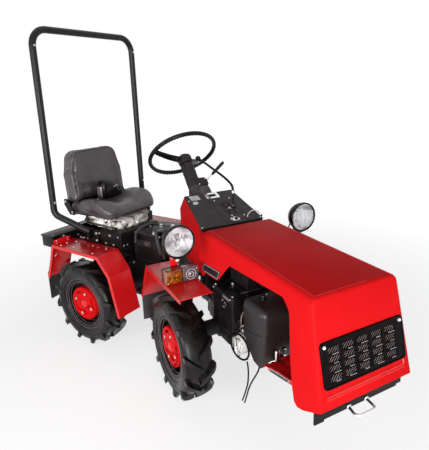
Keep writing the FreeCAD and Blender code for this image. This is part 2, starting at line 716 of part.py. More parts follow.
def dash_panel():
    """Black panel lying on the cowl's sloping top."""
    rear = COWL_TOP_Y - 1
    low = SEAT
    high = SEAT + DASH_THICK
    outline = [(COWL_FRONT_Y, dash_slope(COWL_FRONT_Y) + low), (rear, dash_slope(rear) + low),
               (rear - 2, dash_slope(rear - 2) + high), (COWL_FRONT_Y, dash_slope(COWL_FRONT_Y) + high)]
    return plan_prism(cowl_sections(-DASH_LAP), 500, 1200).common(side_prism(outline, -300, 300))


def column_point(distance, side=0.0, rise=0.0):
    """Point along the steering column, with offsets to the left and square to it, upwards."""
    tilt = math.radians(COLUMN_TILT)
    along = V(0, math.sin(tilt), math.cos(tilt)).multiply(distance)
    up = V(0, -math.cos(tilt), math.sin(tilt)).multiply(rise)
    return V(COLUMN_X + side, COLUMN_Y, column_slope(COLUMN_Y)).add(along).add(up)


def column_rod(radius, start, end):
    return rod(column_point(start), column_point(end), radius)


def steering_column():
    """Column tube with its boot, the stalk switch and the steering shaft's stub."""
    tube = column_rod(COLUMN_RADIUS, SEAT, COLUMN_LENGTH)
    along = column_point(1.0).sub(column_point(0.0))
    boot = Part.makeCone(BOOT_RADIUS, COLUMN_RADIUS + 6, BOOT_LENGTH, column_point(SEAT), along)
    shaft = column_rod(STEER_SHAFT_RADIUS, COLUMN_LENGTH - 5, WHEEL_OFFSET - 20)
    switch_low = column_point(72.0, 0.0, -22.0)
    up = column_point(0.0, 0.0, 1.0).sub(column_point(0.0))
    corners = [V(0, 0, 0), V(78, 0, 0), V(78, 0, 0).add(V(along).multiply(66)), V(along).multiply(66)]
    switch = face_of([switch_low.add(c) for c in corners]).extrude(V(up).multiply(64))
    stalk_root = column_point(110.0, 70.0, 24.0)
    reach = V(136, 8, 108)
    stalk_end = stalk_root.add(reach)
    stalk = rod(stalk_root, stalk_end, 4.5)
    grip = rod(stalk_root.add(V(reach).multiply(0.38)), stalk_end, 10.5)
    return joined(tube, boot, shaft, switch, stalk, grip)


def steering_wheel():
    """Rim, two spokes and hub; the bore runs on the column's shaft."""
    tilt = math.radians(COLUMN_TILT)
    along = V(0, math.sin(tilt), math.cos(tilt))
    centre = column_point(WHEEL_OFFSET)
    wheel = Part.makeTorus(STEER_RADIUS, STEER_RIM, centre, along)
    hub_start = COLUMN_LENGTH + MOVE_GAP
    hub = column_rod(STEER_HUB_RADIUS, hub_start, hub_start + STEER_HUB_LENGTH)
    pieces = [hub]
    hub_middle = column_point(hub_start + STEER_HUB_LENGTH * 0.55)
    for turn in STEER_SPOKES:
        angle = math.radians(turn)
        out = V(math.cos(angle), 0, 0).add(V(0, -math.cos(tilt), math.sin(tilt)).multiply(math.sin(angle)))
        foot = hub_middle.add(V(out).multiply(STEER_HUB_RADIUS - 10))
        tip = centre.add(V(out).multiply(STEER_RADIUS - 3))
        across = along.cross(out).multiply(SPOKE_HALF_WIDTH)
        deep = V(along).multiply(SPOKE_HALF_THICK)
        corners = [foot.add(across).add(deep), foot.sub(across).add(deep),
                   foot.sub(across).sub(deep), foot.add(across).sub(deep)]
        pieces.append(face_of(corners).extrude(tip.sub(foot)))
    whole = joined(wheel, *pieces)
    return whole.cut(column_rod(STEER_SHAFT_RADIUS + RUN, hub_start - 1, WHEEL_OFFSET - 15))


def gear_lever():
    """Long lever from the gate in the dash, bent back under the steering wheel."""
    normal = V(0, COWL_FRONT_Z - COWL_TOP_Z, COWL_TOP_Y - COWL_FRONT_Y).normalize()
    surface = V(LEVER_X, LEVER_Y, dash_slope(LEVER_Y) + SEAT + DASH_THICK)
    foot_start = surface.add(V(normal).multiply(SEAT))
    foot_end = surface.add(V(normal).multiply(LEVER_FOOT_HEIGHT))
    base = surface.add(V(normal).multiply(LEVER_FOOT_HEIGHT / 2))
    end = V(36, 500, 1198)
    points = [base, V(86, 150, 1068), V(70, 300, 1136), end.add(V(0, -6, -2))]
    bar = bent_tube(points, LEVER_BEND, LEVER_RADIUS)
    foot = rod(foot_start, foot_end, LEVER_FOOT_RADIUS)
    knob = Part.makeSphere(LEVER_KNOB_RADIUS, end)
    return joined(bar, foot, knob)


def fender(profile, inner, outer, lip):
    """Sheet fender: bent along its side profile, with a lip turned down at its outer edge."""
    sheet = sheet_profile(profile, FENDER_SHEET)
    top = side_prism(sheet, inner, outer)
    band = side_prism(sheet_profile(profile, lip), outer - FENDER_SHEET, outer)
    return joined(top, band)


def sheet_profile(profile, thick):
    """Closed outline of a bent sheet whose upper face follows the profile."""
    below = []
    count = len(profile)
    for i, (y, z) in enumerate(profile):
        normals = []
        for a, b in ((i - 1, i), (i, i + 1)):
            if a < 0 or b >= count:
                continue
            dy = profile[b][0] - profile[a][0]
            dz = profile[b][1] - profile[a][1]
            length = math.hypot(dy, dz)
            normals.append((dz / length, -dy / length))
        ny = sum(n[0] for n in normals)
        nz = sum(n[1] for n in normals)
        length = math.hypot(ny, nz)
        ny, nz = ny / length, nz / length
        reach = thick / (ny * normals[0][0] + nz * normals[0][1])
        below.append((y + ny * reach, z + nz * reach))
    return list(profile) + below[::-1]


def flap(top_y, top_z, inner, outer, drop, facing):
    """Rubber flap hung from a fender's end, lapped over it on the side away from the wheel."""
    y0, y1 = sorted((top_y + facing * SEAT, top_y + facing * (SEAT + FLAP_THICK)))
    return block(inner + 4, outer - 6, y0, y1, top_z - drop, top_z + FLAP_LAP)


def front_fender(side):
    sheet = fender(FRONT_FENDER_PROFILE, FRONT_FENDER_IN, FRONT_FENDER_OUT, FENDER_LIP)
    return sheet if side > 0 else mirrored(sheet)


def front_flaps():
    y, z = FRONT_FENDER_PROFILE[-1]
    return both_sides(flap(y, z, FRONT_FENDER_IN, FRONT_FENDER_OUT, FRONT_FLAP_DROP, 1))


def headlight(side):
    """Round headlight: bowl, rim and lens as one body, on its stem from the fender."""
    x = HEADLIGHT_X
    front = HEADLIGHT_Y
    ring = rod_y(HEADLIGHT_RADIUS, front, front + HEADLIGHT_RIM, x, HEADLIGHT_Z)
    ring = rounded(ring, 6.0, lambda e: e.CenterOfMass.y < front + 1)
    bowl = Part.makeCone(HEADLIGHT_RADIUS - 4, HEADLIGHT_RADIUS * 0.42, HEADLIGHT_DEPTH - HEADLIGHT_RIM,
                         V(x, front + HEADLIGHT_RIM, HEADLIGHT_Z), Y_AXIS)
    fender_top = FRONT_FENDER_PROFILE[0][1]
    strap_y = MARKER_FRONT + MARKER_DEPTH + SEAT * 10
    shelf = HEADLIGHT_Z - HEADLIGHT_RADIUS - 12
    strap = block(x - 20, x + 20, strap_y, strap_y + 6, fender_top + SEAT, shelf + 6)
    arm = block(x - 20, x + 20, front + HEADLIGHT_RIM + 8, strap_y + 6, shelf, shelf + 6)
    foot = block(x - 20, x + 20, strap_y, strap_y + 40, fender_top + SEAT, fender_top + 6)
    stud = rod_z(8.0, shelf, HEADLIGHT_Z - 40, x, front + HEADLIGHT_RIM + 20)
    lamp = joined(ring, bowl, strap, arm, foot, stud)
    return lamp if side > 0 else mirrored(lamp)


def marker_lamps():
    """Combined turn and position lamps on the front fenders."""
    top = FRONT_FENDER_PROFILE[0][1] + SEAT
    lamp = block(FRONT_FENDER_OUT - MARKER_WIDTH, FRONT_FENDER_OUT, MARKER_FRONT,
                 MARKER_FRONT + MARKER_DEPTH, top, top + MARKER_HEIGHT)
    return both_sides(rounded(lamp, 7.0, lambda e: e.CenterOfMass.z > top + 5))


HOSE_ONE = [
    (-160.0, -378.8, 343.0), (-161.0, -398.0, 317.4), (-160.0, -392.0, 226.0), (-153.0, -361.0, 164.0),
    (-146.0, -330.0, 104.0), (-142.0, -300.0, 50.0)]
HOSE_TWO = [
    (-168.0, -531.7, 476.8), (-166.0, -503.0, 372.0), (-161.0, -464.0, 310.0), (-156.0, -418.0, 244.0),
    (-150.0, -376.0, 170.0), (-139.0, -336.0, 92.0), (-132.0, -306.0, 36.0)]


def hose(route):
    """Free-hanging drain hose: straight runs with the largest arcs that fit each corner."""
    points = [V(*p) for p in route]
    bends = []
    for before, corner, after in zip(points, points[1:], points[2:]):
        back = before.sub(corner)
        ahead = after.sub(corner)
        turn = math.pi - back.getAngle(ahead)
        bends.append(0.45 * min(back.Length, ahead.Length) / math.tan(turn / 2))
    print("hose bend radii", [round(b) for b in bends])
    return swept_bar(points, bends, HOSE_RADIUS)


# ---------------------------------------------------------------- pivot and rear half

def pivot_yoke():
    """Upright pin and boss, with the shaft on which the rear half rolls."""
    low = LUG_LOW + LUG_THICK + 1.0
    high = LUG_HIGH - 1.0
    boss = rod_z(BOSS_RADIUS, low, high, 0, PIVOT_Y)
    pin = rod_z(PIN_RADIUS, LUG_LOW - 6, LUG_HIGH + LUG_THICK + 6, 0, PIVOT_Y)
    shaft = rod_y(YOKE_SHAFT_RADIUS, PIVOT_Y, YOKE_SHAFT_END, 0, ROLL_Z)
    return joined(boss, pin, shaft)


def rear_frame():
    """Roll bearing and the welded spine box that carries the axle, seat base and hitch."""
    bearing = rod_y(BEARING_RADIUS, BEARING_START, SPINE_FRONT + 5, 0, ROLL_Z)
    spine = block(-SPINE_HALF, SPINE_HALF, SPINE_FRONT, SPINE_REAR, SPINE_LOW + 170, SPINE_HIGH)
    front_drop = block(-SPINE_HALF, SPINE_HALF, SPINE_FRONT, WHEELBASE - CASE_HALF_LENGTH - SEAT,
                       SPINE_LOW, SPINE_HIGH)
    rear_drop = block(-SPINE_HALF, SPINE_HALF, WHEELBASE + CASE_HALF_LENGTH + SEAT, SPINE_REAR + 60,
                      SPINE_LOW + 60, SPINE_HIGH)
    pieces = [bearing, spine, front_drop, rear_drop]
    for y in (BASE_FRONT + 40, BASE_REAR - 70):
        pieces.append(block(-BASE_HALF + 20, BASE_HALF - 20, y, y + 30, SPINE_HIGH - 30, SPINE_HIGH))
        for side in (-1, 1):
            x0, x1 = sorted((side * BASE_HALF, side * (BASE_HALF - 24)))
            pieces.append(block(x0, x1, y, y + 30, SPINE_HIGH - 30, BASE_LOW - SEAT))
    for side in (-1, 1):
        x0, x1 = sorted((side * (SPINE_HALF - 4), side * (FOOT_OUT - 40)))
        pieces.append(block(x0, x1, FOOT_FRONT + 40, FOOT_FRONT + 64, FOOT_Z - 30 - SEAT, FOOT_Z - SEAT))
    frame = joined(*pieces)
    bore = rod_y(YOKE_SHAFT_RADIUS + RUN, BEARING_START - 1, YOKE_SHAFT_END + MOVE_GAP, 0, ROLL_Z)
    return frame.cut(bore)


def oil_tank():
    """Hydraulic tank and battery case ahead of the seat base."""
    low = SPINE_HIGH + SEAT
    body = block(-TANK_HALF, TANK_HALF, TANK_REAR - TANK_LENGTH, TANK_REAR, low, TANK_HIGH)
    return rounded(body, 14.0, lambda e: runs_along(Z_AXIS)(e) or runs_along(X_AXIS)(e))


def seat_base():
    """Steel box under the seat, with the slides that the cushion bolts to."""
    low = BASE_LOW
    body = block(-BASE_HALF, BASE_HALF, BASE_FRONT, BASE_REAR, low, BASE_HIGH)
    hollow = block(-BASE_HALF + 4, BASE_HALF - 4, BASE_FRONT + 4, BASE_REAR - 4, low - 1, BASE_HIGH - 4)
    shell = body.cut(hollow)
    slides = []
    for side in (-1, 1):
        x0, x1 = sorted((side * (WRAP_HALF + 4), side * (WRAP_HALF + 26)))
        slides.append(block(x0, x1, CUSHION_FRONT + 40, CUSHION_REAR - 90, BASE_HIGH - 2, CUSHION_LOW - SEAT))
    return joined(shell, *slides)


def seat_wrap():
    """Crumpled protective film round the seat's suspension, as a plain closed body."""
    return block(-WRAP_HALF, WRAP_HALF, WRAP_FRONT, WRAP_REAR, BASE_HIGH + SEAT, CUSHION_LOW - SEAT)


def seat_cushion():
    body = block(-CUSHION_HALF, CUSHION_HALF, CUSHION_FRONT, CUSHION_REAR, CUSHION_LOW, CUSHION_HIGH)
    body = rounded(body, 58.0, lambda e: runs_along(Z_AXIS)(e) and e.CenterOfMass.y < CUSHION_FRONT + 10)
    return rounded(body, 20.0, lambda e: e.CenterOfMass.z > CUSHION_HIGH - 2)


def seat_backrest():
    """Upright back, narrower at the top, leaning a little to the rear."""
    low = CUSHION_HIGH + SEAT + 1
    outline = [(-BACK_HALF_LOW, low), (BACK_HALF_LOW, low), (BACK_HALF_LOW, low + 200),
               (BACK_HALF_HIGH, BACK_HIGH), (-BACK_HALF_HIGH, BACK_HIGH), (-BACK_HALF_LOW, low + 200)]
    body = face_of([V(x, BACK_FRONT, z) for x, z in outline]).extrude(V(0, BACK_THICK, 0))
    body = rounded(body, 70.0, lambda e: runs_along(Y_AXIS)(e) and e.CenterOfMass.z > BACK_HIGH - 2)
    body = rounded(body, 24.0, lambda e: e.CenterOfMass.z > low + 30 and not runs_along(Y_AXIS)(e))
    body.rotate(V(0, BACK_FRONT, low), X_AXIS, -BACK_LEAN)
    floor = low - 0.5
    return body.cut(block(-400, 400, BACK_FRONT - 100, BACK_FRONT + 300, floor - 100, floor))


def seat_bracket():
    """Steel strip at each side that joins the back to the cushion's pan."""
    inner = CUSHION_HALF + SEAT
    rear = BACK_FRONT + BACK_THICK - 10
    outline = [(CUSHION_REAR - 80, CUSHION_LOW + 4), (CUSHION_REAR - 20, CUSHION_LOW + 4),
               (rear, CUSHION_HIGH + 20), (rear, CUSHION_HIGH + 60), (rear - 38, CUSHION_HIGH + 60)]
    strip = side_prism(outline, inner, inner + BRACKET_THICK)
    stud = rod_x(BRACKET_STUD, BACK_HALF_LOW + SEAT, inner + 1, rear - 20, CUSHION_HIGH + 38)
    return both_sides(joined(strip, stud))


def seat_belt():
    """Belt retractor lying on the cushion, with its tongue and buckle."""
    low = CUSHION_HIGH + SEAT
    case = rod_x(40.0, 92.0, 140.0, BACK_FRONT - 52, low + 40)
    foot = block(92, 140, BACK_FRONT - 92, BACK_FRONT - 12, low, low + 40)
    buckle = block(-60, 92, BACK_FRONT - 66, BACK_FRONT - 40, low, low + 14)
    return joined(case, foot, buckle)


def hoop():
    """Roll-over hoop of round tube: feet, cranked posts and one bend at each top corner."""
    points = [
        V(-HOOP_FOOT_X, HOOP_FOOT_Y, HOOP_FOOT_Z), V(-HOOP_HALF, HOOP_Y, HOOP_BEND_Z),
        V(-HOOP_HALF, HOOP_Y, HOOP_TOP), V(HOOP_HALF, HOOP_Y, HOOP_TOP),
        V(HOOP_HALF, HOOP_Y, HOOP_BEND_Z), V(HOOP_FOOT_X, HOOP_FOOT_Y, HOOP_FOOT_Z)]
    tube = swept_bar(points, [HOOP_BEND, HOOP_CORNER, HOOP_CORNER, HOOP_BEND], HOOP_TUBE)
    inner = BASE_HALF + SEAT
    pad = block(inner, inner + HOOP_PAD, HOOP_FOOT_Y - 62, HOOP_FOOT_Y + 62, BASE_LOW + 12, BASE_HIGH - 6)
    gusset = block(inner, HOOP_FOOT_X + 16, HOOP_FOOT_Y - 14, HOOP_FOOT_Y + 14,
                   BASE_HIGH - 40, HOOP_FOOT_Z + 4)
    pads = []
    for piece in (pad, gusset):
        pads += both_sides(piece)
    whole = joined(tube, *pads)
    return whole.cut(block(-inner, inner, HOOP_FOOT_Y - 170, HOOP_FOOT_Y + 170, BASE_LOW, BASE_HIGH + 60))


def rear_fender(side):
    sheet = fender(REAR_FENDER_PROFILE, REAR_FENDER_IN, REAR_FENDER_OUT, FENDER_LIP)
    top = REAR_FENDER_PROFILE[2][1]
    pieces = [block(REAR_FENDER_IN + 40, REAR_FENDER_OUT - 2,
                    BOX_BRACKET_Y, BOX_BRACKET_Y + BOX_BRACKET_THICK, top - 2, top + 50)]
    inner = BASE_HALF + SEAT
    for front, rear in FENDER_TABS:
        pieces.append(block(inner, REAR_FENDER_IN + 1, front, rear, top - FENDER_SHEET, top))
        pieces.append(block(inner, inner + FENDER_SHEET, front, rear,
                            top - FENDER_SHEET, top + FENDER_TAB_HEIGHT))
    piece = joined(sheet, *pieces)
    return piece if side > 0 else mirrored(piece)


def rear_flaps():
    y, z = REAR_FENDER_PROFILE[-1]
    return both_sides(flap(y, z, REAR_FENDER_IN, REAR_FENDER_OUT, REAR_FLAP_DROP, 1))


def rear_box():
    """Closed box across the rear, bolted to the fenders' brackets, with an overhanging lid."""
    body = block(-BOX_HALF, BOX_HALF, BOX_FRONT, BOX_REAR, BOX_LOW, BOX_HIGH - 8)
    lid = block(-BOX_HALF - 6, BOX_HALF + 6, BOX_FRONT - 6, BOX_REAR + 6, BOX_HIGH - 8, BOX_HIGH)
    pieces = [lid]
    for side in (-1, 1):
        x0, x1 = sorted((side * (REAR_FENDER_IN + 60), side * (REAR_FENDER_IN + 100)))
        pieces.append(block(x0, x1, BOX_BRACKET_Y + BOX_BRACKET_THICK + SEAT, BOX_FRONT + 1,
                            BOX_HIGH - 34, BOX_HIGH - 10))
    return joined(body, *pieces)


def tail_lamps():
    y = BOX_REAR + SEAT
    lamp = block(BOX_HALF - 20 - TAIL_WIDTH, BOX_HALF - 20, y, y + TAIL_DEPTH,
                 BOX_LOW + 8, BOX_LOW + 8 + TAIL_HEIGHT)
    return both_sides(rounded(lamp, 6.0, lambda e: e.CenterOfMass.y > y + 5))


def hitch():
    """Clevis hitch on the back of the spine: two plates with one bore for the drawbar pin."""
    start = SPINE_REAR + 60 + SEAT
    back = block(-HITCH_HALF * 2, HITCH_HALF * 2, start, start + HITCH_PLATE, SPINE_LOW + 70, SPINE_HIGH - 60)
    pieces = []
    for z in (HITCH_Z, HITCH_Z + HITCH_PLATE + HITCH_GAP):
        pieces.append(block(-HITCH_HALF, HITCH_HALF, start, HITCH_END - HITCH_HALF, z, z + HITCH_PLATE))
        pieces.append(rod_z(HITCH_HALF, z, z + HITCH_PLATE, 0, HITCH_END - HITCH_HALF))
    whole = joined(back, *pieces)
    top = HITCH_Z + HITCH_GAP + 2 * HITCH_PLATE + 1
    return whole.cut(rod_z(HITCH_BORE, HITCH_Z - 1, top, 0, HITCH_END - HITCH_HALF))


def footrests():
    plate = block(SPINE_HALF + SEAT, FOOT_OUT, FOOT_FRONT, FOOT_REAR, FOOT_Z, FOOT_Z + FOOT_THICK)
    toe = block(SPINE_HALF + SEAT, FOOT_OUT, FOOT_FRONT, FOOT_FRONT + FOOT_THICK, FOOT_Z, FOOT_Z + 34)
    return both_sides(joined(plate, toe))


# ---------------------------------------------------------------- assembly

def parked(shape):
    """Swing a piece of the rear half about the articulation pivot."""
    turned = shape.copy()
    turned.rotate(V(0, PIVOT_Y, 0), Z_AXIS, PARKED_ANGLE)
    return turned


def build():
    front = {
        "front_frame": front_frame(),
        "front_axle": axle(0.0),
        "engine_block": engine_block(),
        "muffler_guard": muffler_guard(),
        "air_cleaner": air_cleaner(),
        "starter_motor": starter(),
        "engine_tray": engine_tray(),
        "front_plate": front_plate(),
        "tow_handle": tow_handle(),
        "cowl": cowl(),
        "dash_panel": dash_panel(),
        "steering_column": steering_column(),
        "steering_wheel": steering_wheel(),
        "gear_lever": gear_lever(),
        "left_front_fender": front_fender(1),
        "right_front_fender": front_fender(-1),
        "front_flaps": front_flaps(),
        "left_headlight": headlight(1),
        "right_headlight": headlight(-1),
        "marker_lamps": marker_lamps(),
        "hood": hood(),
        "grille": grille(),
        "rear_drain_hose": hose(HOSE_ONE),
        "front_drain_hose": hose(HOSE_TWO),
        "left_front_tyre": tyre(HALF_TRACK, 0.0),
        "right_front_tyre": tyre(-HALF_TRACK, 0.0),
        "left_front_rim": rim(1, 0.0),
        "right_front_rim": rim(-1, 0.0),
    }
    rear = {
        "pivot_yoke": pivot_yoke(),
        "rear_frame": rear_frame(),
        "rear_axle": axle(WHEELBASE),
        "oil_tank": oil_tank(),
        "seat_base": seat_base(),
        "seat_wrap": seat_wrap(),
        "seat_cushion": seat_cushion(),
        "seat_backrest": seat_backrest(),
        "seat_brackets": seat_bracket(),
        "seat_belt": seat_belt(),
        "roll_over_hoop": hoop(),
        "left_rear_fender": rear_fender(1),
        "right_rear_fender": rear_fender(-1),
        "rear_flaps": rear_flaps(),
        "rear_box": rear_box(),
        "tail_lamps": tail_lamps(),
        "hitch": hitch(),
        "footrests": footrests(),
        "left_rear_tyre": tyre(HALF_TRACK, WHEELBASE),
        "right_rear_tyre": tyre(-HALF_TRACK, WHEELBASE),
        "left_rear_rim": rim(1, WHEELBASE),
        "right_rear_rim": rim(-1, WHEELBASE),
    }
    pieces = {}
    for name, shape in front.items():
        pieces[name] = Part.makeCompound(shape) if isinstance(shape, list) else shape
    for name, shape in rear.items():
        pieces[name] = parked(Part.makeCompound(shape) if isinstance(shape, list) else shape)
    return pieces


def centred(pieces):
    """Move everything so that the outline's centre on the ground is the origin."""
    bounds = Part.makeCompound(list(pieces.values())).BoundBox
    shift = V(-bounds.Center.x, -bounds.Center.y, 0)
    for shape in pieces.values():
        shape.translate(shift)
    return shift


PIECES = build()
SHIFT = centred(PIECES)
os.makedirs("parts", exist_ok=True)
for node, piece in PIECES.items():
    piece.exportStep("parts/" + node + ".step")
print("shift", round(SHIFT.x, 2), round(SHIFT.y, 2))
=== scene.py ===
import json
from math import atan2, cos, pi, radians, sin, tan

import bmesh
import bpy
from mathutils import Matrix, Vector, noise
from mathutils.bvhtree import BVHTree
from mathutils.kdtree import KDTree


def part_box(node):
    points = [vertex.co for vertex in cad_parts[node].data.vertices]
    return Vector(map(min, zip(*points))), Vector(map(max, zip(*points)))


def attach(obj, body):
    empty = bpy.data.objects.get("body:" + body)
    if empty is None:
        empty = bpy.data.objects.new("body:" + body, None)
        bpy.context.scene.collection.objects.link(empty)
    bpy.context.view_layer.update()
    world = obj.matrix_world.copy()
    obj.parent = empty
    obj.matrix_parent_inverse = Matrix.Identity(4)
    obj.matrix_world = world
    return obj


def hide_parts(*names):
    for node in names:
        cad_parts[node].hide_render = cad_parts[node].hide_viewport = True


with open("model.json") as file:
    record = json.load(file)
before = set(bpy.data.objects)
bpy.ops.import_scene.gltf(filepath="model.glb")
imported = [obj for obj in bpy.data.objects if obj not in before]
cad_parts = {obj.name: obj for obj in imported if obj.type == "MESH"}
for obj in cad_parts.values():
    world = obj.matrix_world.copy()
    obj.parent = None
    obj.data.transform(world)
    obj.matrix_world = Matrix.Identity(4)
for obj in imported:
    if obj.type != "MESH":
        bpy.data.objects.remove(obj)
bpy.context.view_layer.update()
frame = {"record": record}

# ------------------------------------------------------------------ places
# Pieces are drawn in millimetres on a straight tractor, as the frame's own source does: the
# front axle is over Y = 0, -Y is forward, +X is the driver's left and the ground is Z = 0.
# FRONT and REAR put them in the frame's metres, the rear half folded as it stands parked.

RECORD = frame["record"]["behaviour"]
JOINT = {joint["name"]: joint for joint in RECORD["joints"]}

MM = 0.001
axle_low, axle_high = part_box("front_axle")
START = Vector(((axle_low.x + axle_high.x) / 2, (axle_low.y + axle_high.y) / 2, 0))
PIVOT = Vector(JOINT["articulation"]["pos_m"])
roll = JOINT["rear_roll"]["axis"]
FOLD = atan2(-roll[0], roll[1])
FRONT = Matrix.Translation(START) @ Matrix.Scale(MM, 4)
REAR = (Matrix.Translation(PIVOT) @ Matrix.Rotation(FOLD, 4, "Z")
        @ Matrix.Translation(START - PIVOT) @ Matrix.Scale(MM, 4))
HALF_OF = {"front_half": FRONT, "hood": FRONT, "steering_wheel": FRONT, "rear_half": REAR, "pivot_yoke": REAR}
SIDES = (("left", 1), ("right", -1))
for corner, side in SIDES:
    HALF_OF[corner + "_front_wheel"] = FRONT
    HALF_OF[corner + "_rear_wheel"] = REAR

# The front frame's two rails run between these places across the machine.
RAIL = (105, 131)

X = Vector((1, 0, 0))
Y = Vector((0, 1, 0))
Z = Vector((0, 0, 1))


# ------------------------------------------------------------------ finishes

class Value:
    """A node's output. Arithmetic on it adds Math nodes."""

    def __init__(self, shader, socket):
        self.shader = shader
        self.socket = socket

    def maths(self, operation, *terms):
        return self.shader.node("ShaderNodeMath", {"operation": operation}, dict(enumerate(terms)))

    def __add__(self, other):
        return self.maths("ADD", self, other)

    def __sub__(self, other):
        return self.maths("SUBTRACT", self, other)

    def __mul__(self, other):
        return self.maths("MULTIPLY", self, other)

    __radd__ = __add__
    __rmul__ = __mul__


class Shader:
    """Node tree of one finish, ending in a Principled shader, or of another owner such as the world."""

    def __init__(self, name, owner=None):
        self.owner = owner or bpy.data.materials.new(name)
        self.owner.use_nodes = True
        self.tree = self.owner.node_tree
        self.tree.nodes.clear()

    def node(self, kind, settings, inputs, output=0):
        made = self.tree.nodes.new(kind)
        for key, value in settings.items():
            setattr(made, key, value)
        for key, value in inputs.items():
            if isinstance(value, Value):
                self.tree.links.new(value.socket, made.inputs[key])
            else:
                made.inputs[key].default_value = value
        return Value(self, made.outputs[output]) if len(made.outputs) else None

    def place(self, stretch=(1, 1, 1), turn=(0, 0, 0)):
        coordinates = self.node("ShaderNodeTexCoord", {}, {}, "Object")
        return self.node("ShaderNodeMapping", {}, {"Vector": coordinates, "Scale": stretch, "Rotation": turn})

    def noise(self, scale, detail=3.0, roughness=0.5, at=None):
        return self.node("ShaderNodeTexNoise", {}, {
            "Vector": at or self.place(), "Scale": scale, "Detail": detail, "Roughness": roughness}, "Fac")

    def cells(self, scale):
        return self.node("ShaderNodeTexVoronoi", {"feature": "F1"}, {
            "Vector": self.place(), "Scale": scale}, "Distance")

    def span(self, value, low, high, to_low=0.0, to_high=1.0):
        return self.node("ShaderNodeMapRange", {}, {
            "Value": value, "From Min": low, "From Max": high, "To Min": to_low, "To Max": to_high})

    def uneven(self, scale, detail, low, high, to_low=0.0, to_high=1.0, roughness=0.5):
        """A number that wanders over the surface between two ends."""
        return self.span(self.noise(scale, detail, roughness), low, high, to_low, to_high)

    def patchy(self, first, second, scale, detail, low, high, most=1.0, roughness=0.5):
        """A colour that wanders between two written ones."""
        return self.blend(self.uneven(scale, detail, low, high, 0.0, most, roughness),
                          shade(first), shade(second))

    def blend(self, factor, first, second):
        def colour(value):
            return value if isinstance(value, Value) else (*value, 1)
        return self.node("ShaderNodeMix", {"data_type": "RGBA"},
                         {0: factor, 6: colour(first), 7: colour(second)}, 2)

    def bump(self, height, strength, distance, normal=None):
        inputs = {"Height": height, "Strength": strength, "Distance": distance}
        if normal:
            inputs["Normal"] = normal
        return self.node("ShaderNodeBump", {}, inputs)

    def finish(self, **sockets):
        """Ends the tree in a Principled shader and gives the material."""
        inputs = {key.replace("_", " "): value for key, value in sockets.items()}
        surface = self.node("ShaderNodeBsdfPrincipled", {}, inputs)
        self.node("ShaderNodeOutputMaterial", {}, {"Surface": surface})
        return self.owner


def shade(hexadecimal):
    """Linear colour from a written sRGB one."""
    channels = [int(hexadecimal[i:i + 2], 16) / 255 for i in (0, 2, 4)]
    return tuple(c / 12.92 if c <= 0.04045 else ((c + 0.055) / 1.055) ** 2.4 for c in channels)


def red_paint(name="red_paint", smooth=0.3, mirror=0.02):
    """Gloss red enamel: faint orange peel, its tone and gloss a little uneven."""
    s = Shader(name)
    return s.finish(Base_Color=s.patchy("ee1d20", "df181c", 3.5, 4, 0.35, 0.7),
                    Roughness=s.uneven(30, 5, 0.3, 0.8, smooth, smooth + 0.12, 0.65),
                    Normal=s.bump(s.noise(260, 2), 0.06, 0.0006), Specular_IOR_Level=mirror)


def black_paint():
    """Satin black paint over steel, with fine grit and rubbed spots."""
    s = Shader("black_paint")
    return s.finish(Base_Color=s.patchy("120e0f", "251f20", 45, 6, 0.58, 0.78, 0.5, 0.7),
                    Roughness=s.uneven(60, 5, 0.3, 0.75, 0.3, 0.46, 0.6),
                    Normal=s.bump(s.noise(700, 2), 0.1, 0.0004), Specular_IOR_Level=0.16)


def tube_black():
    """Glossy black enamel on the hoop's tube."""
    s = Shader("tube_black")
    return s.finish(Base_Color=s.patchy("141012", "1f1a1c", 30, 5, 0.4, 0.75),
                    Roughness=s.uneven(7, 4, 0.3, 0.7, 0.3, 0.36), Specular_IOR_Level=0.26)


def cast_black():
    """Black paint over sand-cast iron."""
    s = Shader("cast_black")
    fine = s.bump(s.noise(420, 5, 0.7), 0.4, 0.0009)
    return s.finish(Base_Color=s.patchy("120e0f", "251f1f", 24, 6, 0.4, 0.75, 1.0, 0.65),
                    Roughness=s.uneven(90, 4, 0.3, 0.7, 0.42, 0.6),
                    Normal=s.bump(s.noise(60, 3), 0.3, 0.002, fine), Specular_IOR_Level=0.22)


def tyre_rubber():
    """New tyre rubber: near black, a soft sheen, traces of mould release and dust."""
    s = Shader("tyre_rubber")
    skin = s.bump(s.noise(300, 4, 0.6), 0.2, 0.0007)
    return s.finish(Base_Color=s.patchy("0d0909", "231b1b", 18, 7, 0.45, 0.8, 1.0, 0.7),
                    Roughness=s.uneven(26, 5, 0.3, 0.75, 0.2, 0.42, 0.6),
                    Normal=s.bump(s.noise(40, 3), 0.2, 0.003, skin), Specular_IOR_Level=0.26)


def flap_rubber():
    """Grey rubber sheet with a cloth face, as on the flaps and hoses."""
    s = Shader("flap_rubber")
    cloth = s.bump(s.noise(500, 3), 0.3, 0.0006)
    return s.finish(Base_Color=s.patchy("2c2a2c", "464245", 14, 5, 0.35, 0.75, 1.0, 0.6), Roughness=0.55,
                    Normal=s.bump(s.noise(9, 2), 0.3, 0.004, cloth))


def seat_vinyl():
    """Black seat vinyl: pebbled leather grain with soft creases."""
    s = Shader("seat_vinyl")
    valleys = s.span(s.cells(620), 0.1, 0.75)
    creases = s.bump(s.noise(14, 4, 0.55), 0.25, 0.006)
    return s.finish(Base_Color=s.patchy("3f383a", "4e4648", 9, 5, 0.4, 0.75, 1.0, 0.6),
                    Roughness=s.uneven(5, 3, 0.3, 0.75, 0.34, 0.42),
                    Normal=s.bump(valleys, 0.14, 0.0006, creases), Specular_IOR_Level=0.68)


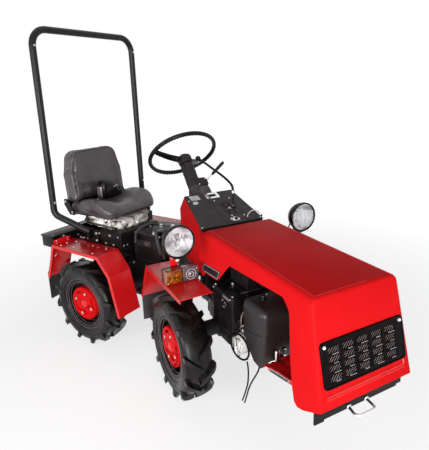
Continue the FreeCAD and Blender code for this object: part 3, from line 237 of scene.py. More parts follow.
def black_plastic(name="black_plastic", smooth=0.46, mirror=0.24):
    """Moulded plastic with a fine spark-eroded texture."""
    s = Shader(name)
    return s.finish(Base_Color=s.patchy("241e1f", "2e2728", 12, 4, 0.35, 0.7),
                    Roughness=s.uneven(40, 4, 0.3, 0.7, smooth, smooth + 0.14),
                    Normal=s.bump(s.noise(900, 2), 0.3, 0.0004), Specular_IOR_Level=mirror)


def gloss_black(name="gloss_black", mirror=0.18):
    """Smooth black plastic, as on the steering wheel's rim."""
    s = Shader(name)
    return s.finish(Base_Color=s.patchy("0d090a", "181314", 25, 4, 0.4, 0.7),
                    Roughness=s.uneven(70, 3, 0.3, 0.7, 0.18, 0.28), Specular_IOR_Level=mirror)


def zinc():
    """Zinc-plated steel fixings."""
    s = Shader("zinc")
    return s.finish(Base_Color=s.patchy("e2e0de", "c3c0bf", 60, 5, 0.35, 0.7), Metallic=0.9,
                    Roughness=s.uneven(120, 4, 0.3, 0.7, 0.2, 0.36),
                    Normal=s.bump(s.noise(600, 2), 0.1, 0.0003))


def chrome():
    """Bright plating, a little uneven."""
    s = Shader("chrome")
    return s.finish(Base_Color=(*shade("f2f2f3"), 1), Metallic=1.0,
                    Roughness=s.uneven(80, 4, 0.3, 0.8, 0.08, 0.16),
                    Normal=s.bump(s.noise(90, 2), 0.04, 0.0006))


def pale_enamel():
    """Light grey paint on the starter's can."""
    s = Shader("pale_enamel")
    return s.finish(Base_Color=s.patchy("e4e1e0", "b4afae", 18, 5, 0.4, 0.75),
                    Roughness=s.uneven(50, 4, 0.3, 0.7, 0.25, 0.45),
                    Normal=s.bump(s.noise(150, 2), 0.05, 0.0006))


def crumpled_film():
    """Thin protective film, silvery. Its tone wanders in patches from dull to near white as painted light and
    shade of its folds, and dark lines of painted shade run where it creases.
    """
    s = Shader("crumpled_film")
    # Painted light and shade: patches from dull grey-brown to near white stand in for folds catching or
    # losing the light.
    tone = s.patchy("a3978b", "fffdf8", 9, 3, 0.36, 0.6)
    # Painted shade: dark lines along the noise's ridges stand in for the shade in creases.
    middle = s.noise(12, 2, 0.5) - 0.5
    crease_shade = middle.maths("ABSOLUTE", middle)
    colour = s.blend(s.span(crease_shade, 0.002, 0.02), shade("3c302b"), tone)
    height = s.cells(34) + s.noise(60, 3)
    return s.finish(Base_Color=colour, Metallic=0.15, Roughness=0.26, Normal=s.bump(height, 0.35, 0.004))


def lamp_glass():
    """Clear lamp glass with a slight haze."""
    s = Shader("lamp_glass")
    return s.finish(Base_Color=(0.97, 0.98, 1.0, 1), Roughness=s.uneven(30, 3, 0.3, 0.8, 0.02, 0.08),
                    Transmission_Weight=1.0, IOR=1.45, Normal=s.bump(s.noise(120, 2), 0.03, 0.0004))


def reflector():
    """Bright aluminised bowl of a lamp. The broken reflection of its facets is painted into its colour as
    light and dark streaks, which also bump it.
    """
    s = Shader("reflector")
    # Painted reflection: stretched noise streaks between grey and near white.
    painted_reflection_streaks = s.noise(9, 3, 0.6, s.place((1, 1, 2.6), (0, 0.6, 0)))
    colour = s.blend(s.span(painted_reflection_streaks, 0.42, 0.54), shade("a8a2a2"), shade("fcfbfb"))
    return s.finish(Base_Color=colour, Metallic=0.15, Roughness=0.3, Normal=s.bump(painted_reflection_streaks, 0.3, 0.006))


def lens(name, tone, deep_tone):
    """Coloured moulded lens, ribbed inside."""
    s = Shader(name)
    return s.finish(Base_Color=s.patchy(tone, deep_tone, 55, 4, 0.35, 0.7), Roughness=0.1,
                    Transmission_Weight=0.35, IOR=1.49, Normal=s.bump(s.cells(150), 0.35, 0.0015),
                    Coat_Weight=0.5, Coat_Roughness=0.04)


def small_plate(name, tone, metal):
    """Plain plate, badge or wire of one tone, slightly mottled."""
    s = Shader(name)
    tone = shade(tone)
    colour = s.blend(s.uneven(60, 5, 0.35, 0.75), tone, tuple(c * 0.78 for c in tone))
    return s.finish(Base_Color=colour, Metallic=metal, Roughness=0.34,
                    Normal=s.bump(s.noise(400, 2), 0.08, 0.0004))


RED = red_paint()
# Each finish with its material and the record's slot that it stands for.
LOOKS = {
    "red": (RED, "red_paint"),
    "rim": (RED, "rim_paint"),
    "gloss_red": (red_paint("gloss_red", 0.16, 0.45), "red_paint"),
    "black": (black_paint(), "black_paint"),
    "tube": (tube_black(), "black_paint"),
    "cast": (cast_black(), "cast_black"),
    "tyre": (tyre_rubber(), "tyre_rubber"),
    "flap": (flap_rubber(), "rubber"),
    "vinyl": (seat_vinyl(), "vinyl"),
    "plastic": (black_plastic(), "black_plastic"),
    "satin": (black_plastic("satin_plastic", 0.27, 0.33), "black_plastic"),
    "gloss": (gloss_black(), "gloss_black"),
    "ink": (gloss_black("ink_black", 0.05), "gloss_black"),
    "zinc": (zinc(), "bright_steel"),
    "chrome": (chrome(), "bright_steel"),
    "pale": (pale_enamel(), "aluminium"),
    "film": (crumpled_film(), "film"),
    "glass": (lamp_glass(), "lamp"),
    "reflector": (reflector(), "lamp"),
    "amber": (lens("amber_lens", "c4680c", "6e3404"), "amber_lens"),
    "clear": (lens("clear_lens", "8a787b", "4a3c3f"), "amber_lens"),
    "ruby": (lens("ruby_lens", "b01010", "5c0608"), "red_lens"),
    "pale_amber": (small_plate("pale_amber", "dc9a30", 0.3), "amber_lens"),
    "dark_amber": (small_plate("dark_amber", "6a2c06", 0.1), "amber_lens"),
    "silver_plate": (small_plate("silver_plate", "b9b5b4", 0.6), "bright_steel"),
    "pale_badge": (small_plate("pale_badge", "d5dde6", 0.1), "bright_steel"),
    "dark_plate": (small_plate("dark_plate", "2a2728", 0.2), "black_plastic"),
    "mesh": (small_plate("grille_mesh", "8d7b7b", 0.4), "black_plastic")}


# ------------------------------------------------------------------ shapes

def stood(name, data):
    """New object that holds a mesh, curve, light or camera, in the scene."""
    made = bpy.data.objects.new(name, data)
    bpy.context.scene.collection.objects.link(made)
    return made


def outward(side, near, far):
    """Two planes across the machine, near and far from its middle on one side, in order."""
    return sorted((side * near, side * far))


def turned_to(axis):
    """Rotation that lays +Z along an axis."""
    return Vector(axis).to_track_quat("Z", "Y").to_matrix().to_4x4()


def rounded(shape, edges, size, segments):
    bmesh.ops.bevel(shape, geom=edges, offset=size, segments=segments, profile=0.5, affect="EDGES",
                    material=-1)


def block(x0, x1, y0, y1, z0, z1, soft=0.0, segments=2):
    """Box between two corners, its edges rounded by soft."""
    shape = bmesh.new()
    middle = Matrix.Translation(((x0 + x1) / 2, (y0 + y1) / 2, (z0 + z1) / 2))
    bmesh.ops.create_cube(shape, size=1.0, matrix=middle @ Matrix.Diagonal((x1 - x0, y1 - y0, z1 - z0, 1)))
    if soft:
        rounded(shape, shape.edges[:], soft, segments)
    return shape


def rod(start, end, radius, end_radius=None, sides=24):
    """Round bar between two points, or a cone when its end has a radius of its own."""
    start = Vector(start)
    along = Vector(end) - start
    shape = bmesh.new()
    bmesh.ops.create_cone(shape, cap_ends=True, segments=sides, radius1=radius,
                          radius2=radius if end_radius is None else end_radius, depth=along.length,
                          matrix=Matrix.Translation(start + along / 2) @ turned_to(along))
    return shape


def turned(profile, at, axis, sides=48, closed=False):
    """Profile of (distance along the axis, radius), turned about it."""
    if closed:
        profile = [*profile, profile[0]]
    shape = bmesh.new()
    points = [shape.verts.new((radius, 0, along)) for along, radius in profile]
    lines = [shape.edges.new(pair) for pair in zip(points, points[1:])]
    bmesh.ops.spin(shape, geom=points + lines, cent=(0, 0, 0), axis=(0, 0, 1), angle=2 * pi, steps=sides,
                   use_merge=True)
    bmesh.ops.remove_doubles(shape, verts=shape.verts, dist=0.001)
    shape.transform(Matrix.Translation(at) @ turned_to(axis))
    return shape


def ring(at, axis, radius, thick, sides=48, around=12):
    """Round ring of a round section."""
    circle = [(thick * sin(2 * pi * i / around), radius + thick * cos(2 * pi * i / around))
              for i in range(around + 1)]
    return turned(circle, at, axis, sides)


def ball(at, radius, sides=16):
    shape = bmesh.new()
    bmesh.ops.create_uvsphere(shape, u_segments=sides, v_segments=sides // 2, radius=radius,
                              matrix=Matrix.Translation(at))
    return shape


def eased(corners, radius, steps=5):
    """Outline of (x, y) corners with each one made an arc. radius is one size, or one for each corner."""
    radii = radius if isinstance(radius, (list, tuple)) else [radius] * len(corners)
    points = [Vector(corner) for corner in corners]
    outline = []
    for i, (corner, size) in enumerate(zip(points, radii)):
        back = points[i - 1] - corner
        ahead = points[(i + 1) % len(points)] - corner
        if size <= 0:
            outline.append(corner)
            continue
        half = back.angle(ahead) / 2
        reach = min(size / tan(half), 0.49 * back.length, 0.49 * ahead.length)
        first = corner + back.normalized() * reach
        last = corner + ahead.normalized() * reach
        centre = corner + (back.normalized() + ahead.normalized()).normalized() * reach / cos(half)
        start = (first - centre).angle_signed(X.xy)
        sweep = (last - centre).angle_signed(first - centre)
        length = (first - centre).length
        for k in range(steps + 1):
            turn = start + sweep * k / steps
            outline.append(centre + Vector((cos(turn), sin(turn))) * length)
    return outline


def plate(outline, thick, holes=()):
    """Flat plate in the XY plane, thickened along +Z, with holes through it."""
    shape = bmesh.new()
    rims = []
    for loop in (outline, *holes):
        points = [shape.verts.new((x, y, 0)) for x, y in loop]
        rims += [shape.edges.new(pair) for pair in zip(points, points[1:] + points[:1])]
    if holes:
        filled = bmesh.ops.triangle_fill(shape, use_beauty=True, edges=rims)["geom"]
    else:
        filled = bmesh.ops.contextual_create(shape, geom=rims)["faces"]
    faces = [item for item in filled if isinstance(item, bmesh.types.BMFace)]
    grown = bmesh.ops.extrude_face_region(shape, geom=faces)
    moved = [item for item in grown["geom"] if isinstance(item, bmesh.types.BMVert)]
    bmesh.ops.translate(shape, vec=(0, 0, thick), verts=moved)
    bmesh.ops.dissolve_limit(shape, angle_limit=radians(0.5), verts=shape.verts, edges=shape.edges)
    return shape


def facing(at, right, up):
    """Placing of a plate: its X runs along right, its Y along up, and +Z stands off the surface."""
    right = Vector(right).normalized()
    out = right.cross(Vector(up)).normalized()
    up = out.cross(right)
    turn = Matrix((right, up, out)).transposed().to_4x4()
    return Matrix.Translation(at) @ turn


SIDE = Matrix(((0, 0, 1, 0), (1, 0, 0, 0), (0, 1, 0, 0), (0, 0, 0, 1)))


def side_plate(outline, x0, x1, holes=()):
    """Plate from a side outline of (y, z), between two planes across the machine."""
    shape = plate(outline, x1 - x0, holes)
    shape.transform(Matrix.Translation((x0, 0, 0)) @ SIDE)
    return shape


def around(count, start=0):
    """Angles spaced evenly round a turn, in radians, from a start in degrees."""
    return [radians(start) + 2 * pi * i / count for i in range(count)]


def circle(x, y, radius, sides=20):
    return [(x + radius * cos(turn), y + radius * sin(turn)) for turn in around(sides)]


def rectangle(x, y, half_x, half_y):
    return [(x - half_x, y - half_y), (x + half_x, y - half_y),
            (x + half_x, y + half_y), (x - half_x, y + half_y)]


def round_end(half, y):
    """Half circle of outline points, for a plate with a round end."""
    return [(half * cos(radians(a)), y + half * sin(radians(a))) for a in range(0, 181, 12)]


def bent_path(points, bends, steps=6):
    """Straight runs joined by arcs, one bend radius for each inner point."""
    path = [Vector(points[0])]
    for before, corner, after, bend in zip(points, points[1:], points[2:], bends):
        corner = Vector(corner)
        back = (Vector(before) - corner).normalized()
        ahead = (Vector(after) - corner).normalized()
        half = back.angle(ahead) / 2
        reach = bend / tan(half)
        centre = corner + (back + ahead).normalized() * bend / sin(half)
        first = corner + back * reach - centre
        last = corner + ahead * reach - centre
        for k in range(steps + 1):
            path.append(centre + first.slerp(last, k / steps).normalized() * bend)
    path.append(Vector(points[-1]))
    return path


def tube(path, radius, sides=12, smooth=False):
    """Round bar along a path of points, or along the smooth curve that they steer."""
    curve = bpy.data.curves.new("tube", "CURVE")
    curve.dimensions = "3D"
    curve.bevel_depth = radius
    curve.bevel_resolution = max(1, sides // 4)
    curve.use_fill_caps = True
    curve.resolution_u = 5
    spline = curve.splines.new("NURBS" if smooth else "POLY")
    spline.points.add(len(path) - 1)
    for point, place in zip(spline.points, path):
        point.co = (*place, 1)
    if smooth:
        spline.order_u = min(4, len(path))
        spline.use_endpoint_u = True
    holder = bpy.data.objects.new("tube", curve)
    mesh = bpy.data.meshes.new_from_object(holder)
    shape = bmesh.new()
    shape.from_mesh(mesh)
    bmesh.ops.remove_doubles(shape, verts=shape.verts, dist=0.001)
    bpy.data.objects.remove(holder)
    bpy.data.curves.remove(curve)
    bpy.data.meshes.remove(mesh)
    return shape


def face_out(shape):
    """Turns every face of a shape outwards."""
    bmesh.ops.recalc_face_normals(shape, faces=shape.faces)
    if all(edge.is_manifold for edge in shape.edges) and shape.calc_volume(signed=True) < 0:
        bmesh.ops.reverse_faces(shape, faces=shape.faces)


def poured(shape):
    """The shape as a new mesh, its faces turned outwards. The shape is used up."""
    face_out(shape)
    mesh = bpy.data.meshes.new("part")
    shape.to_mesh(mesh)
    shape.free()
    return mesh


def gather(whole, shape):
    """Adds a shape to a larger one."""
    mesh = poured(shape)
    whole.from_mesh(mesh)
    bpy.data.meshes.remove(mesh)


def taken(thing):
    """A copy of an object's mesh as its modifiers leave it."""
    return bpy.data.meshes.new_from_object(thing.evaluated_get(bpy.context.evaluated_depsgraph_get()))


# ------------------------------------------------------------------ pieces

DOME = ((0, 0), (0, 1), (0.25, 0.96), (0.5, 0.7), (0.62, 0.3), (0.64, 0))


class Piece:
    """One piece in the making: shapes in millimetres, each with its finish, on one body."""

    def __init__(self, name, body):
        self.name = name
        self.body = body
        self.shape = bmesh.new()
        self.finishes = []

    def add(self, shape, finish, place=None):
        if finish not in self.finishes:
            self.finishes.append(finish)
        if place:
            shape.transform(place)
        for face in shape.faces:
            face.material_index = self.finishes.index(finish)
        gather(self.shape, shape)

    def boxes(self, finish, *rows):
        """Blocks of one finish, each row as block takes it."""
        for row in rows:
            self.add(block(*row), finish)

    def beside(self, side, finish, *rows):
        """Blocks on one side, their first two numbers measured out from the middle."""
        for near, far, *rest in rows:
            self.add(block(*outward(side, near, far), *rest), finish)

    def twins(self, finish, *rows):
        for side in (-1, 1):
            self.beside(side, finish, *rows)

    def bolt(self, at, axis, size=7.0):
        """Hexagon head on a washer, with the end of its thread."""
        at = Vector(at)
        axis = Vector(axis).normalized() * size
        for length, radius, sides in ((0.25, 1.3, 18), (0.85, 1, 6), (1.15, 0.5, 10)):
            self.add(rod(at, at + axis * length, size * radius, sides=sides), "zinc")

    def bolts(self, places, axis, size=7.0):
        for at in places:
            self.bolt(at, axis, size)

    def studs(self, places, axis, size=6.0):
        """Domed screw heads."""
        profile = [(size * along, size * radius) for along, radius in DOME]
        for at in places:
            self.add(turned(profile, at, axis, 16), "zinc")

    def done(self, replaces=(), ease=1.2, angle=35):
        """Smooths the flats, eases the edges, and hangs the piece on its body."""
        made = bpy.data.meshes.new(self.name)
        self.shape.to_mesh(made)
        self.shape.free()
        made.transform(HALF_OF[self.body])
        for finish in self.finishes:
            made.materials.append(LOOKS[finish][0])
        return settle(self.name, made, self.body, replaces, ease, angle)


def settle(name, mesh, body, replaces=(), ease=1.2, angle=35):
    mesh.shade_smooth()
    mesh.set_sharp_from_angle(angle=radians(angle))
    made = stood(name, mesh)
    if ease:
        edges = made.modifiers.new("eased edges", "BEVEL")
        edges.width = ease * MM
        edges.segments = 2
        edges.limit_method = "ANGLE"
        edges.angle_limit = radians(angle)
        edges.harden_normals = True
    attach(made, body)
    if replaces:
        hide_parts(*replaces)
    return made


def carve(piece, *cutters):
    """Cuts closed shapes, in the piece's own millimetres, out of it."""
    for cutter in cutters:
        tool = stood("cutter", poured(cutter))
        body_mesh = bpy.data.meshes.new("body")
        piece.shape.to_mesh(body_mesh)
        body = stood("body", body_mesh)
        cut = body.modifiers.new("cut", "BOOLEAN")
        cut.operation = "DIFFERENCE"
        cut.solver = "EXACT"
        cut.object = tool
        result = taken(body)
        piece.shape.clear()
        piece.shape.from_mesh(result)
        bpy.data.meshes.remove(result)
        for thing in (tool, body):
            mesh = thing.data
            bpy.data.objects.remove(thing)
            bpy.data.meshes.remove(mesh)
# ------------------------------------------------------------------ camera and hoses

CAMERA_AT = (-1097.7, -1945.4, 1603.1)
CAMERA_AZIMUTH = -27.33
CAMERA_DROP = 14.47
CAMERA_ROLL = -1.89

view = bpy.data.cameras.new("camera")
view.sensor_width = 36
view.lens = 34.384
view.shift_x = -0.0073
view.shift_y = -0.0502
view.clip_end = 50
camera = stood("camera", view)
camera.matrix_world = (Matrix.Translation(FRONT @ Vector(CAMERA_AT))
                       @ Matrix.Rotation(radians(CAMERA_AZIMUTH), 4, "Z")
                       @ Matrix.Rotation(radians(90 - CAMERA_DROP), 4, "X")
                       @ Matrix.Rotation(radians(CAMERA_ROLL), 4, "Z"))
bpy.context.scene.camera = camera
bpy.context.scene.view_settings.view_transform = "Standard"

HOSE_RADIUS = 4.0
# Each hose with its length in metres and its route in millimetres.
HOSES = {
    "rear_drain_hose": (0.322, [
        (-160, -378.8, 343), (-161, -398, 317.4), (-160, -392, 226), (-153, -361, 164), (-146, -330, 104),
        (-142, -300, 50)]),
    "front_drain_hose": (0.498, [
        (-168, -531.7, 476.8), (-166, -503, 372), (-161, -464, 310), (-156, -418, 244), (-150, -376, 170),
        (-139, -336, 92), (-132, -306, 36)])}

for name, (length, route) in HOSES.items():
    curve = bpy.data.curves.new(name + "_line", "CURVE")
    curve.dimensions = "3D"
    curve.bevel_depth = HOSE_RADIUS * MM
    curve.bevel_resolution = 4
    curve.resolution_u = 12
    curve.use_fill_caps = True
    spline = curve.splines.new("NURBS")
    spline.points.add(len(route) - 1)
    for point, place in zip(spline.points, route):
        point.co = (*(FRONT @ Vector(place)), 1)
    spline.order_u = 3
    spline.use_endpoint_u = True
    curve.materials.append(LOOKS["ink"][0])
    hose = stood(name + "_line", curve)
    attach(hose, "front_half")
    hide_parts(name)
# ------------------------------------------------------------------ wheels

WHEELBASE = 1030
HALF_TRACK = 349
TYRE_RADIUS = 284.5
LUGS = 12
CARCASS = [
    (-62, 158), (-62, 170), (-68, 184), (-71, 185), (-74.5, 199), (-73.5, 200.5), (-76.5, 212),
    (-78.8, 213.5), (-79, 217.5), (-77.2, 219), (-76, 232), (-71, 245), (-61, 254), (-45, 258.5), (-20, 261)]
CARCASS += [(0, 261.5), *[(-across, radius) for across, radius in reversed(CARCASS)]]
# Stations of one tread bar, from the sidewall to past the middle: the top's and the root's
# place across and radius, their half widths, and the angle round the tyre in degrees.
LUG_STATIONS = [
    ((79.5, 229), (72, 225), 10, 13, 0.0), ((82.2, 246), (72, 238), 12, 16, 0.0),
    ((81.6, 267), (66, 246), 14, 19, 0.4), ((67, 279), (56, 252), 14, 20, 3.2),
    ((42, 283.4), (40, 255), 13, 19, 7.8), ((15, 284.4), (15, 257), 12.5, 18, 12.6),
    ((-7, 284.4), (-5, 257), 11, 17, 16.4)]


def tread_lug(side, start):
    """One bar of the chevron tread, wrapped onto the tyre from a flat strip."""
    shape = block(0, len(LUG_STATIONS) - 1, -1, 1, 0, 1)
    long_edges = [edge for edge in shape.edges if abs(edge.verts[0].co.x - edge.verts[1].co.x) > 0.5]
    bmesh.ops.subdivide_edges(shape, edges=long_edges, cuts=len(LUG_STATIONS) - 2)
    for point in shape.verts:
        top, root, top_half, root_half, angle = LUG_STATIONS[round(point.co.x)]
        across, radius = top if point.co.z > 0.5 else root
        half = top_half if point.co.z > 0.5 else root_half
        turn = start + radians(angle) + point.co.y * half / radius
        point.co = (side * across, -radius * cos(turn), -radius * sin(turn))
    return shape


def tyre(name, body, side, y):
    piece = Piece(name, body)
    centre = (side * HALF_TRACK, y, TYRE_RADIUS)
    piece.add(turned(CARCASS, centre, X, 96, True), "tyre")
    for start in around(LUGS):
        piece.add(tread_lug(1, start), "tyre", Matrix.Translation(centre))
        piece.add(tread_lug(-1, start - pi / LUGS), "tyre", Matrix.Translation(centre))
    return piece


BARREL = [
    (-64, 171.6), (-59.4, 171.6), (-59.4, 152), (59.4, 152), (59.4, 171.6), (63.6, 171.6), (64, 168),
    (62, 158), (59, 149.5), (50, 147.5), (47, 141), (22, 139), (18, 128), (8, 124), (8, 40), (2, 40),
    (2, 126), (-12, 137), (-48, 142), (-60, 149), (-64, 165)]
DRUM = [(9, 34), (9, 110), (52, 111.5), (57.5, 110), (59, 106), (57, 104), (46, 100), (46, 34)]
HUB_RING = [(56, 31), (62.2, 31), (64, 33.5), (64, 37), (62.2, 39), (56, 39)]
NUT_RING = [(56, 15), (61.5, 15), (64, 16), (64, 18.2), (61.5, 19.5)]
# Thin light rings at the rim's flange and barrel edges, each as place along the axle, radius and thickness:
# painted highlights where those edges catch light.
PAINTED_HIGHLIGHT_RINGS = ((63.4, 170, 1.4), (60.6, 151.5, 1.3), (48.6, 142, 1.1))
SLOT_RADIUS = 84
SLOT_HALF = 8.0
SLOT_ANGLE = 21
BOLT_CIRCLE = 74
FACE_AT = 57.2


def curved_slot(middle):
    """Outline of a slot that follows a circle, its ends round."""
    outline = []
    for end in (1, -1):
        turn = radians(middle + end * SLOT_ANGLE)
        for k in range(7):
            bend = turn + end * (k / 6) * pi
            outline.append((SLOT_RADIUS * cos(turn) + SLOT_HALF * cos(bend),
                            SLOT_RADIUS * sin(turn) + SLOT_HALF * sin(bend)))
        for k in range(1, 6):
            turn = radians(middle + end * SLOT_ANGLE - end * SLOT_ANGLE * 2 * k / 6)
            reach = SLOT_RADIUS - end * SLOT_HALF
            outline.append((reach * cos(turn), reach * sin(turn)))
    return outline


def rim(name, body, side, y):
    piece = Piece(name, body)
    place = Matrix.Translation((side * HALF_TRACK, y, TYRE_RADIUS)) @ Matrix.Diagonal((side, 1, 1, 1))
    piece.add(turned(DRUM, (0, 0, 0), X, 64, True), "rim", place)
    piece.add(turned(BARREL, (0, 0, 0), X, 80, True), "black", place)
    # Painted highlights: light rings along the rim's edges.
    for along, radius, thick in PAINTED_HIGHLIGHT_RINGS:
        piece.add(ring((along, 0, 0), X, radius, thick, 80, 6), "mesh", place)
    holes = [circle(0, 0, 30, 32)]
    nuts = []
    for quarter in (0, 90, 180, 270):
        turn = radians(quarter + 17)
        nuts.append((BOLT_CIRCLE * cos(turn), BOLT_CIRCLE * sin(turn)))
        turn = radians(quarter + 35)
        holes += [curved_slot(quarter + 62), circle(*nuts[-1], 15, 20),
                  circle(50 * cos(turn), 50 * sin(turn), 4, 10)]
    face = plate(circle(0, 0, 106.5, 64), 5, holes)
    piece.add(face, "rim", place @ facing((FACE_AT, 0, 0), Y, Z))
    piece.add(turned(HUB_RING, (0, 0, 0), X, 40, True), "rim", place)
    for nut in nuts:
        foot = Vector((FACE_AT, *nut))
        piece.add(rod(foot, foot + X * 6.5, 10, sides=6), "zinc", place)
        piece.add(rod(foot, foot + X * 9.5, 4.5, sides=12), "zinc", place)
        piece.add(turned(NUT_RING, (0, *nut), X, 24, True), "rim", place)
    valve = place @ Vector((40, 0, -143))
    piece.add(rod(valve, valve + Vector((side * 26, 0, 6)), 4, 3.2, 12), "flap")
    return piece


for corner, side in SIDES:
    for axle, y in (("front", 0), ("rear", WHEELBASE)):
        body = "%s_%s_wheel" % (corner, axle)
        node = "%s_%s_" % (corner, axle)
        tyre(node + "tread", body, side, y).done((node + "tyre",), 1.5, 30)
        rim(node + "drum", body, side, y).done((node + "rim",), 0.8)

CASE_Z = 325
AXLE_END = HALF_TRACK + 54
COVER = [(-16, 0), (-16, 66), (-10, 72), (0, 72), (0, 0)]
AXLE_CAP = [(0, 0), (0, 25), (3, 28), (6, 27), (10, 19), (12.5, 9), (13, 0)]


def axle(name, body, y, node):
    """Cast gear case with its ribs and cover, the axle tubes, and the portal cases behind the wheels."""
    piece = Piece(name, body)
    piece.add(block(-105, 105, y - 118, y + 118, 236, 425, 30, 5), "cast")
    piece.add(turned(COVER, (0, y - 110, CASE_Z), Y, 40), "cast")
    piece.bolts([(60 * cos(turn), y - 126, CASE_Z + 60 * sin(turn)) for turn in around(8)], -Y, 5)
    piece.boxes("cast", *[(x - 4, x + 4, y - 121, y + 121, 250, 428, 2) for x in (-70, 0, 70)])
    for side in (-1, 1):
        piece.add(rod((side * 90, y, CASE_Z), (side * 212, y, CASE_Z), 44, sides=32), "cast")
        piece.add(rod((side * 98, y, CASE_Z), (side * 122, y, CASE_Z), 62, sides=32), "cast")
        for z, radius, wide in ((TYRE_RADIUS, 74, 20), (337, 59, 19)):
            profile = [(-wide, 0), (-wide, radius - 6), (-wide + 6, radius),
                       (wide - 6, radius), (wide, radius - 6), (wide, 0)]
            piece.add(turned(profile, (side * 228, y, z), X, 40), "cast")
        portal = [radians(150 + 45 * i) for i in range(7)]
        piece.bolts([(side * 248, y + 62 * cos(turn), TYRE_RADIUS + 62 * sin(turn)) for turn in portal],
                    X * side, 4.5)
        piece.add(rod((side * 240, y, TYRE_RADIUS), (side * 268, y, TYRE_RADIUS), 46, 40, 32), "cast")
        piece.add(rod((side * 260, y, TYRE_RADIUS), (side * AXLE_END, y, TYRE_RADIUS), 23.5), "cast")
        piece.add(turned(AXLE_CAP, (side * AXLE_END, y, TYRE_RADIUS), X * side, 32), "gloss_red")
    piece.done((node,), 1.2)


axle("front_axle_case", "front_half", 0, "front_axle")
axle("rear_axle_case", "rear_half", WHEELBASE, "rear_axle")
# ------------------------------------------------------------------ hood

NOSE_TOP = (-900, 902)
NOSE_LOW = (-986, 512)
NOSE_SLOPE = (NOSE_LOW[0] - NOSE_TOP[0]) / (NOSE_LOW[1] - NOSE_TOP[1])
HOOD_HALF = 209.5
HOOD_WIDEN = 0.0042
HOOD_FLARE = 0.0551
HOOD_FALL = 0.0179
HINGE = (-938, 508)


def nose_y(z):
    return NOSE_TOP[0] + NOSE_SLOPE * (z - NOSE_TOP[1])


def hood_half(y, z):
    return HOOD_HALF + HOOD_WIDEN * (y - NOSE_TOP[0]) + HOOD_FLARE * (NOSE_TOP[1] - z)


def hood_solid(inset, long_ease, nose_ease):
    """The hood's outline as a solid, drawn in by a wall: flared sides, sloping nose, round edges."""
    shape = block(-1, 1, 0, 1, 0, 1)
    for point in shape.verts:
        side, back, top = point.co
        y = 60 + inset * 20 if back > 0.5 else NOSE_TOP[0]
        z = NOSE_TOP[1] + HOOD_FALL * (y - NOSE_TOP[0]) - inset if top > 0.5 else 430 - inset * 10
        if back < 0.5:
            y = nose_y(z) + inset * 1.03
        point.co = (side * (hood_half(y, z) - inset), y, z)
    long_edges = [edge for edge in shape.edges
                  if all(v.co.z > 800 for v in edge.verts)
                  and abs(edge.verts[0].co.y - edge.verts[1].co.y) > 400]
    rounded(shape, long_edges, long_ease, 7)
    nose_edges = [edge for edge in shape.edges
                  if sum(face.normal.y < -0.9 for face in edge.link_faces) == 1
                  and edge.calc_length() > 1 and max(v.co.z for v in edge.verts) > 440]
    rounded(shape, nose_edges, nose_ease, 4)
    return shape


hood = Piece("hood_shell", "hood")
hood.add(hood_solid(0, 26, 13), "red")
REAR_CUT = [(-63, 960), (-64, 917), (3, 748), (100, 700), (200, 748), (200, 960)]
OPENING = eased(
    [(200, 380), (200, 748), (3, 748), (-70, 749), (-50, 703), (-140, 705), (-221, 710), (-332, 826),
     (-742, 846), (-784, 806), (-806, 620), (-826, 520), (-843, 466), (-862, 455), (-896, 464), (-986, 512),
     (-1060, 512), (-1060, 380)],
    [0, 0, 4, 5, 5, 0, 12, 20, 30, 28, 30, 30, 6, 4, 10, 3, 0, 0])
GRILLE_WINDOW = [(nose_y(596) - 40, 596), (nose_y(735) - 40, 735),
                 (nose_y(735) + 60, 735), (nose_y(596) + 60, 596)]
carve(hood, hood_solid(3, 23, 10))
bmesh.ops.bisect_plane(hood.shape, geom=[*hood.shape.verts, *hood.shape.edges, *hood.shape.faces], dist=0.01,
                       plane_co=(0, 0, 0), plane_no=X)
carve(hood, side_plate(GRILLE_WINDOW, -189, 189), side_plate(REAR_CUT, -400, 400),
      side_plate(OPENING, -400, 400))

NOSE_UP = Vector((0, NOSE_SLOPE, 1)).normalized()
NOSE_OUT = X.cross(NOSE_UP).normalized()


def on_nose(x, z, out=0.0):
    return Vector((x, nose_y(z), z)) + NOSE_OUT * out


UPPER_BEAD = ((-197, 557), (-20, 558.5), (187, 560), (190, 566), (190, 592))
LOWER_BEAD = ((-197, 547), (-20, 548), (192, 549))
for bead, radius in ((UPPER_BEAD, 5.4), (LOWER_BEAD, 3.4)):
    hood.add(tube([on_nose(x, z) for x, z in bead], radius), "gloss_red")
for side in (-1, 1):
    start = Vector((side * 216.5, -848, 736))
    end = Vector((start.x * 1.004, -900, 722))
    hood.add(tube([start, (start + end) / 2 + Vector((start.x * 0.0035, 0, 2)), end], 1.3, 8, True), "red")
    groove = [(side * (hood_half(NOSE_TOP[0], z) + 0.2), nose_y(z) + 21, z) for z in (872, 700, 520)]
    hood.add(tube(groove, 1.5, 8), "red")
    hood.add(rod((side * 184, NOSE_TOP[0] + 13, 902.4), (side * 176, -68, 917.2), 1.0, sides=8), "gloss_red")
    hood.add(turned([(0, 7.1), (0, 14.6), (8, 14.6), (8, 7.1)],
                    (outward(side, 152, 160)[0], *HINGE), X, 32, True), "black")
hood.add(rod((-182, -884, 902.6), (60, -884, 902.6), 1.4, sides=10), "gloss_red")
for y in (-270, -560, -800):
    hood.boxes("red", (-188, 188, y - 26, y + 26, 888, 890, 1), (-188, 188, y - 12, y + 12, 881, 889, 1))
hood.twins("black", (152, 160, HINGE[0] - 13, HINGE[0] + 13, HINGE[1] - 2, 560, 3),
           (152, 160, nose_y(560) + 2, HINGE[0] + 4, 540, 562, 2))
hood.twins("red", *[(hood_half(y, 780) - 27, hood_half(y, 780) - 5, y - 9, y + 9, 772, 776)
                    for y in (-110, -170)])
hood.done(("hood",), 0.7, 30)

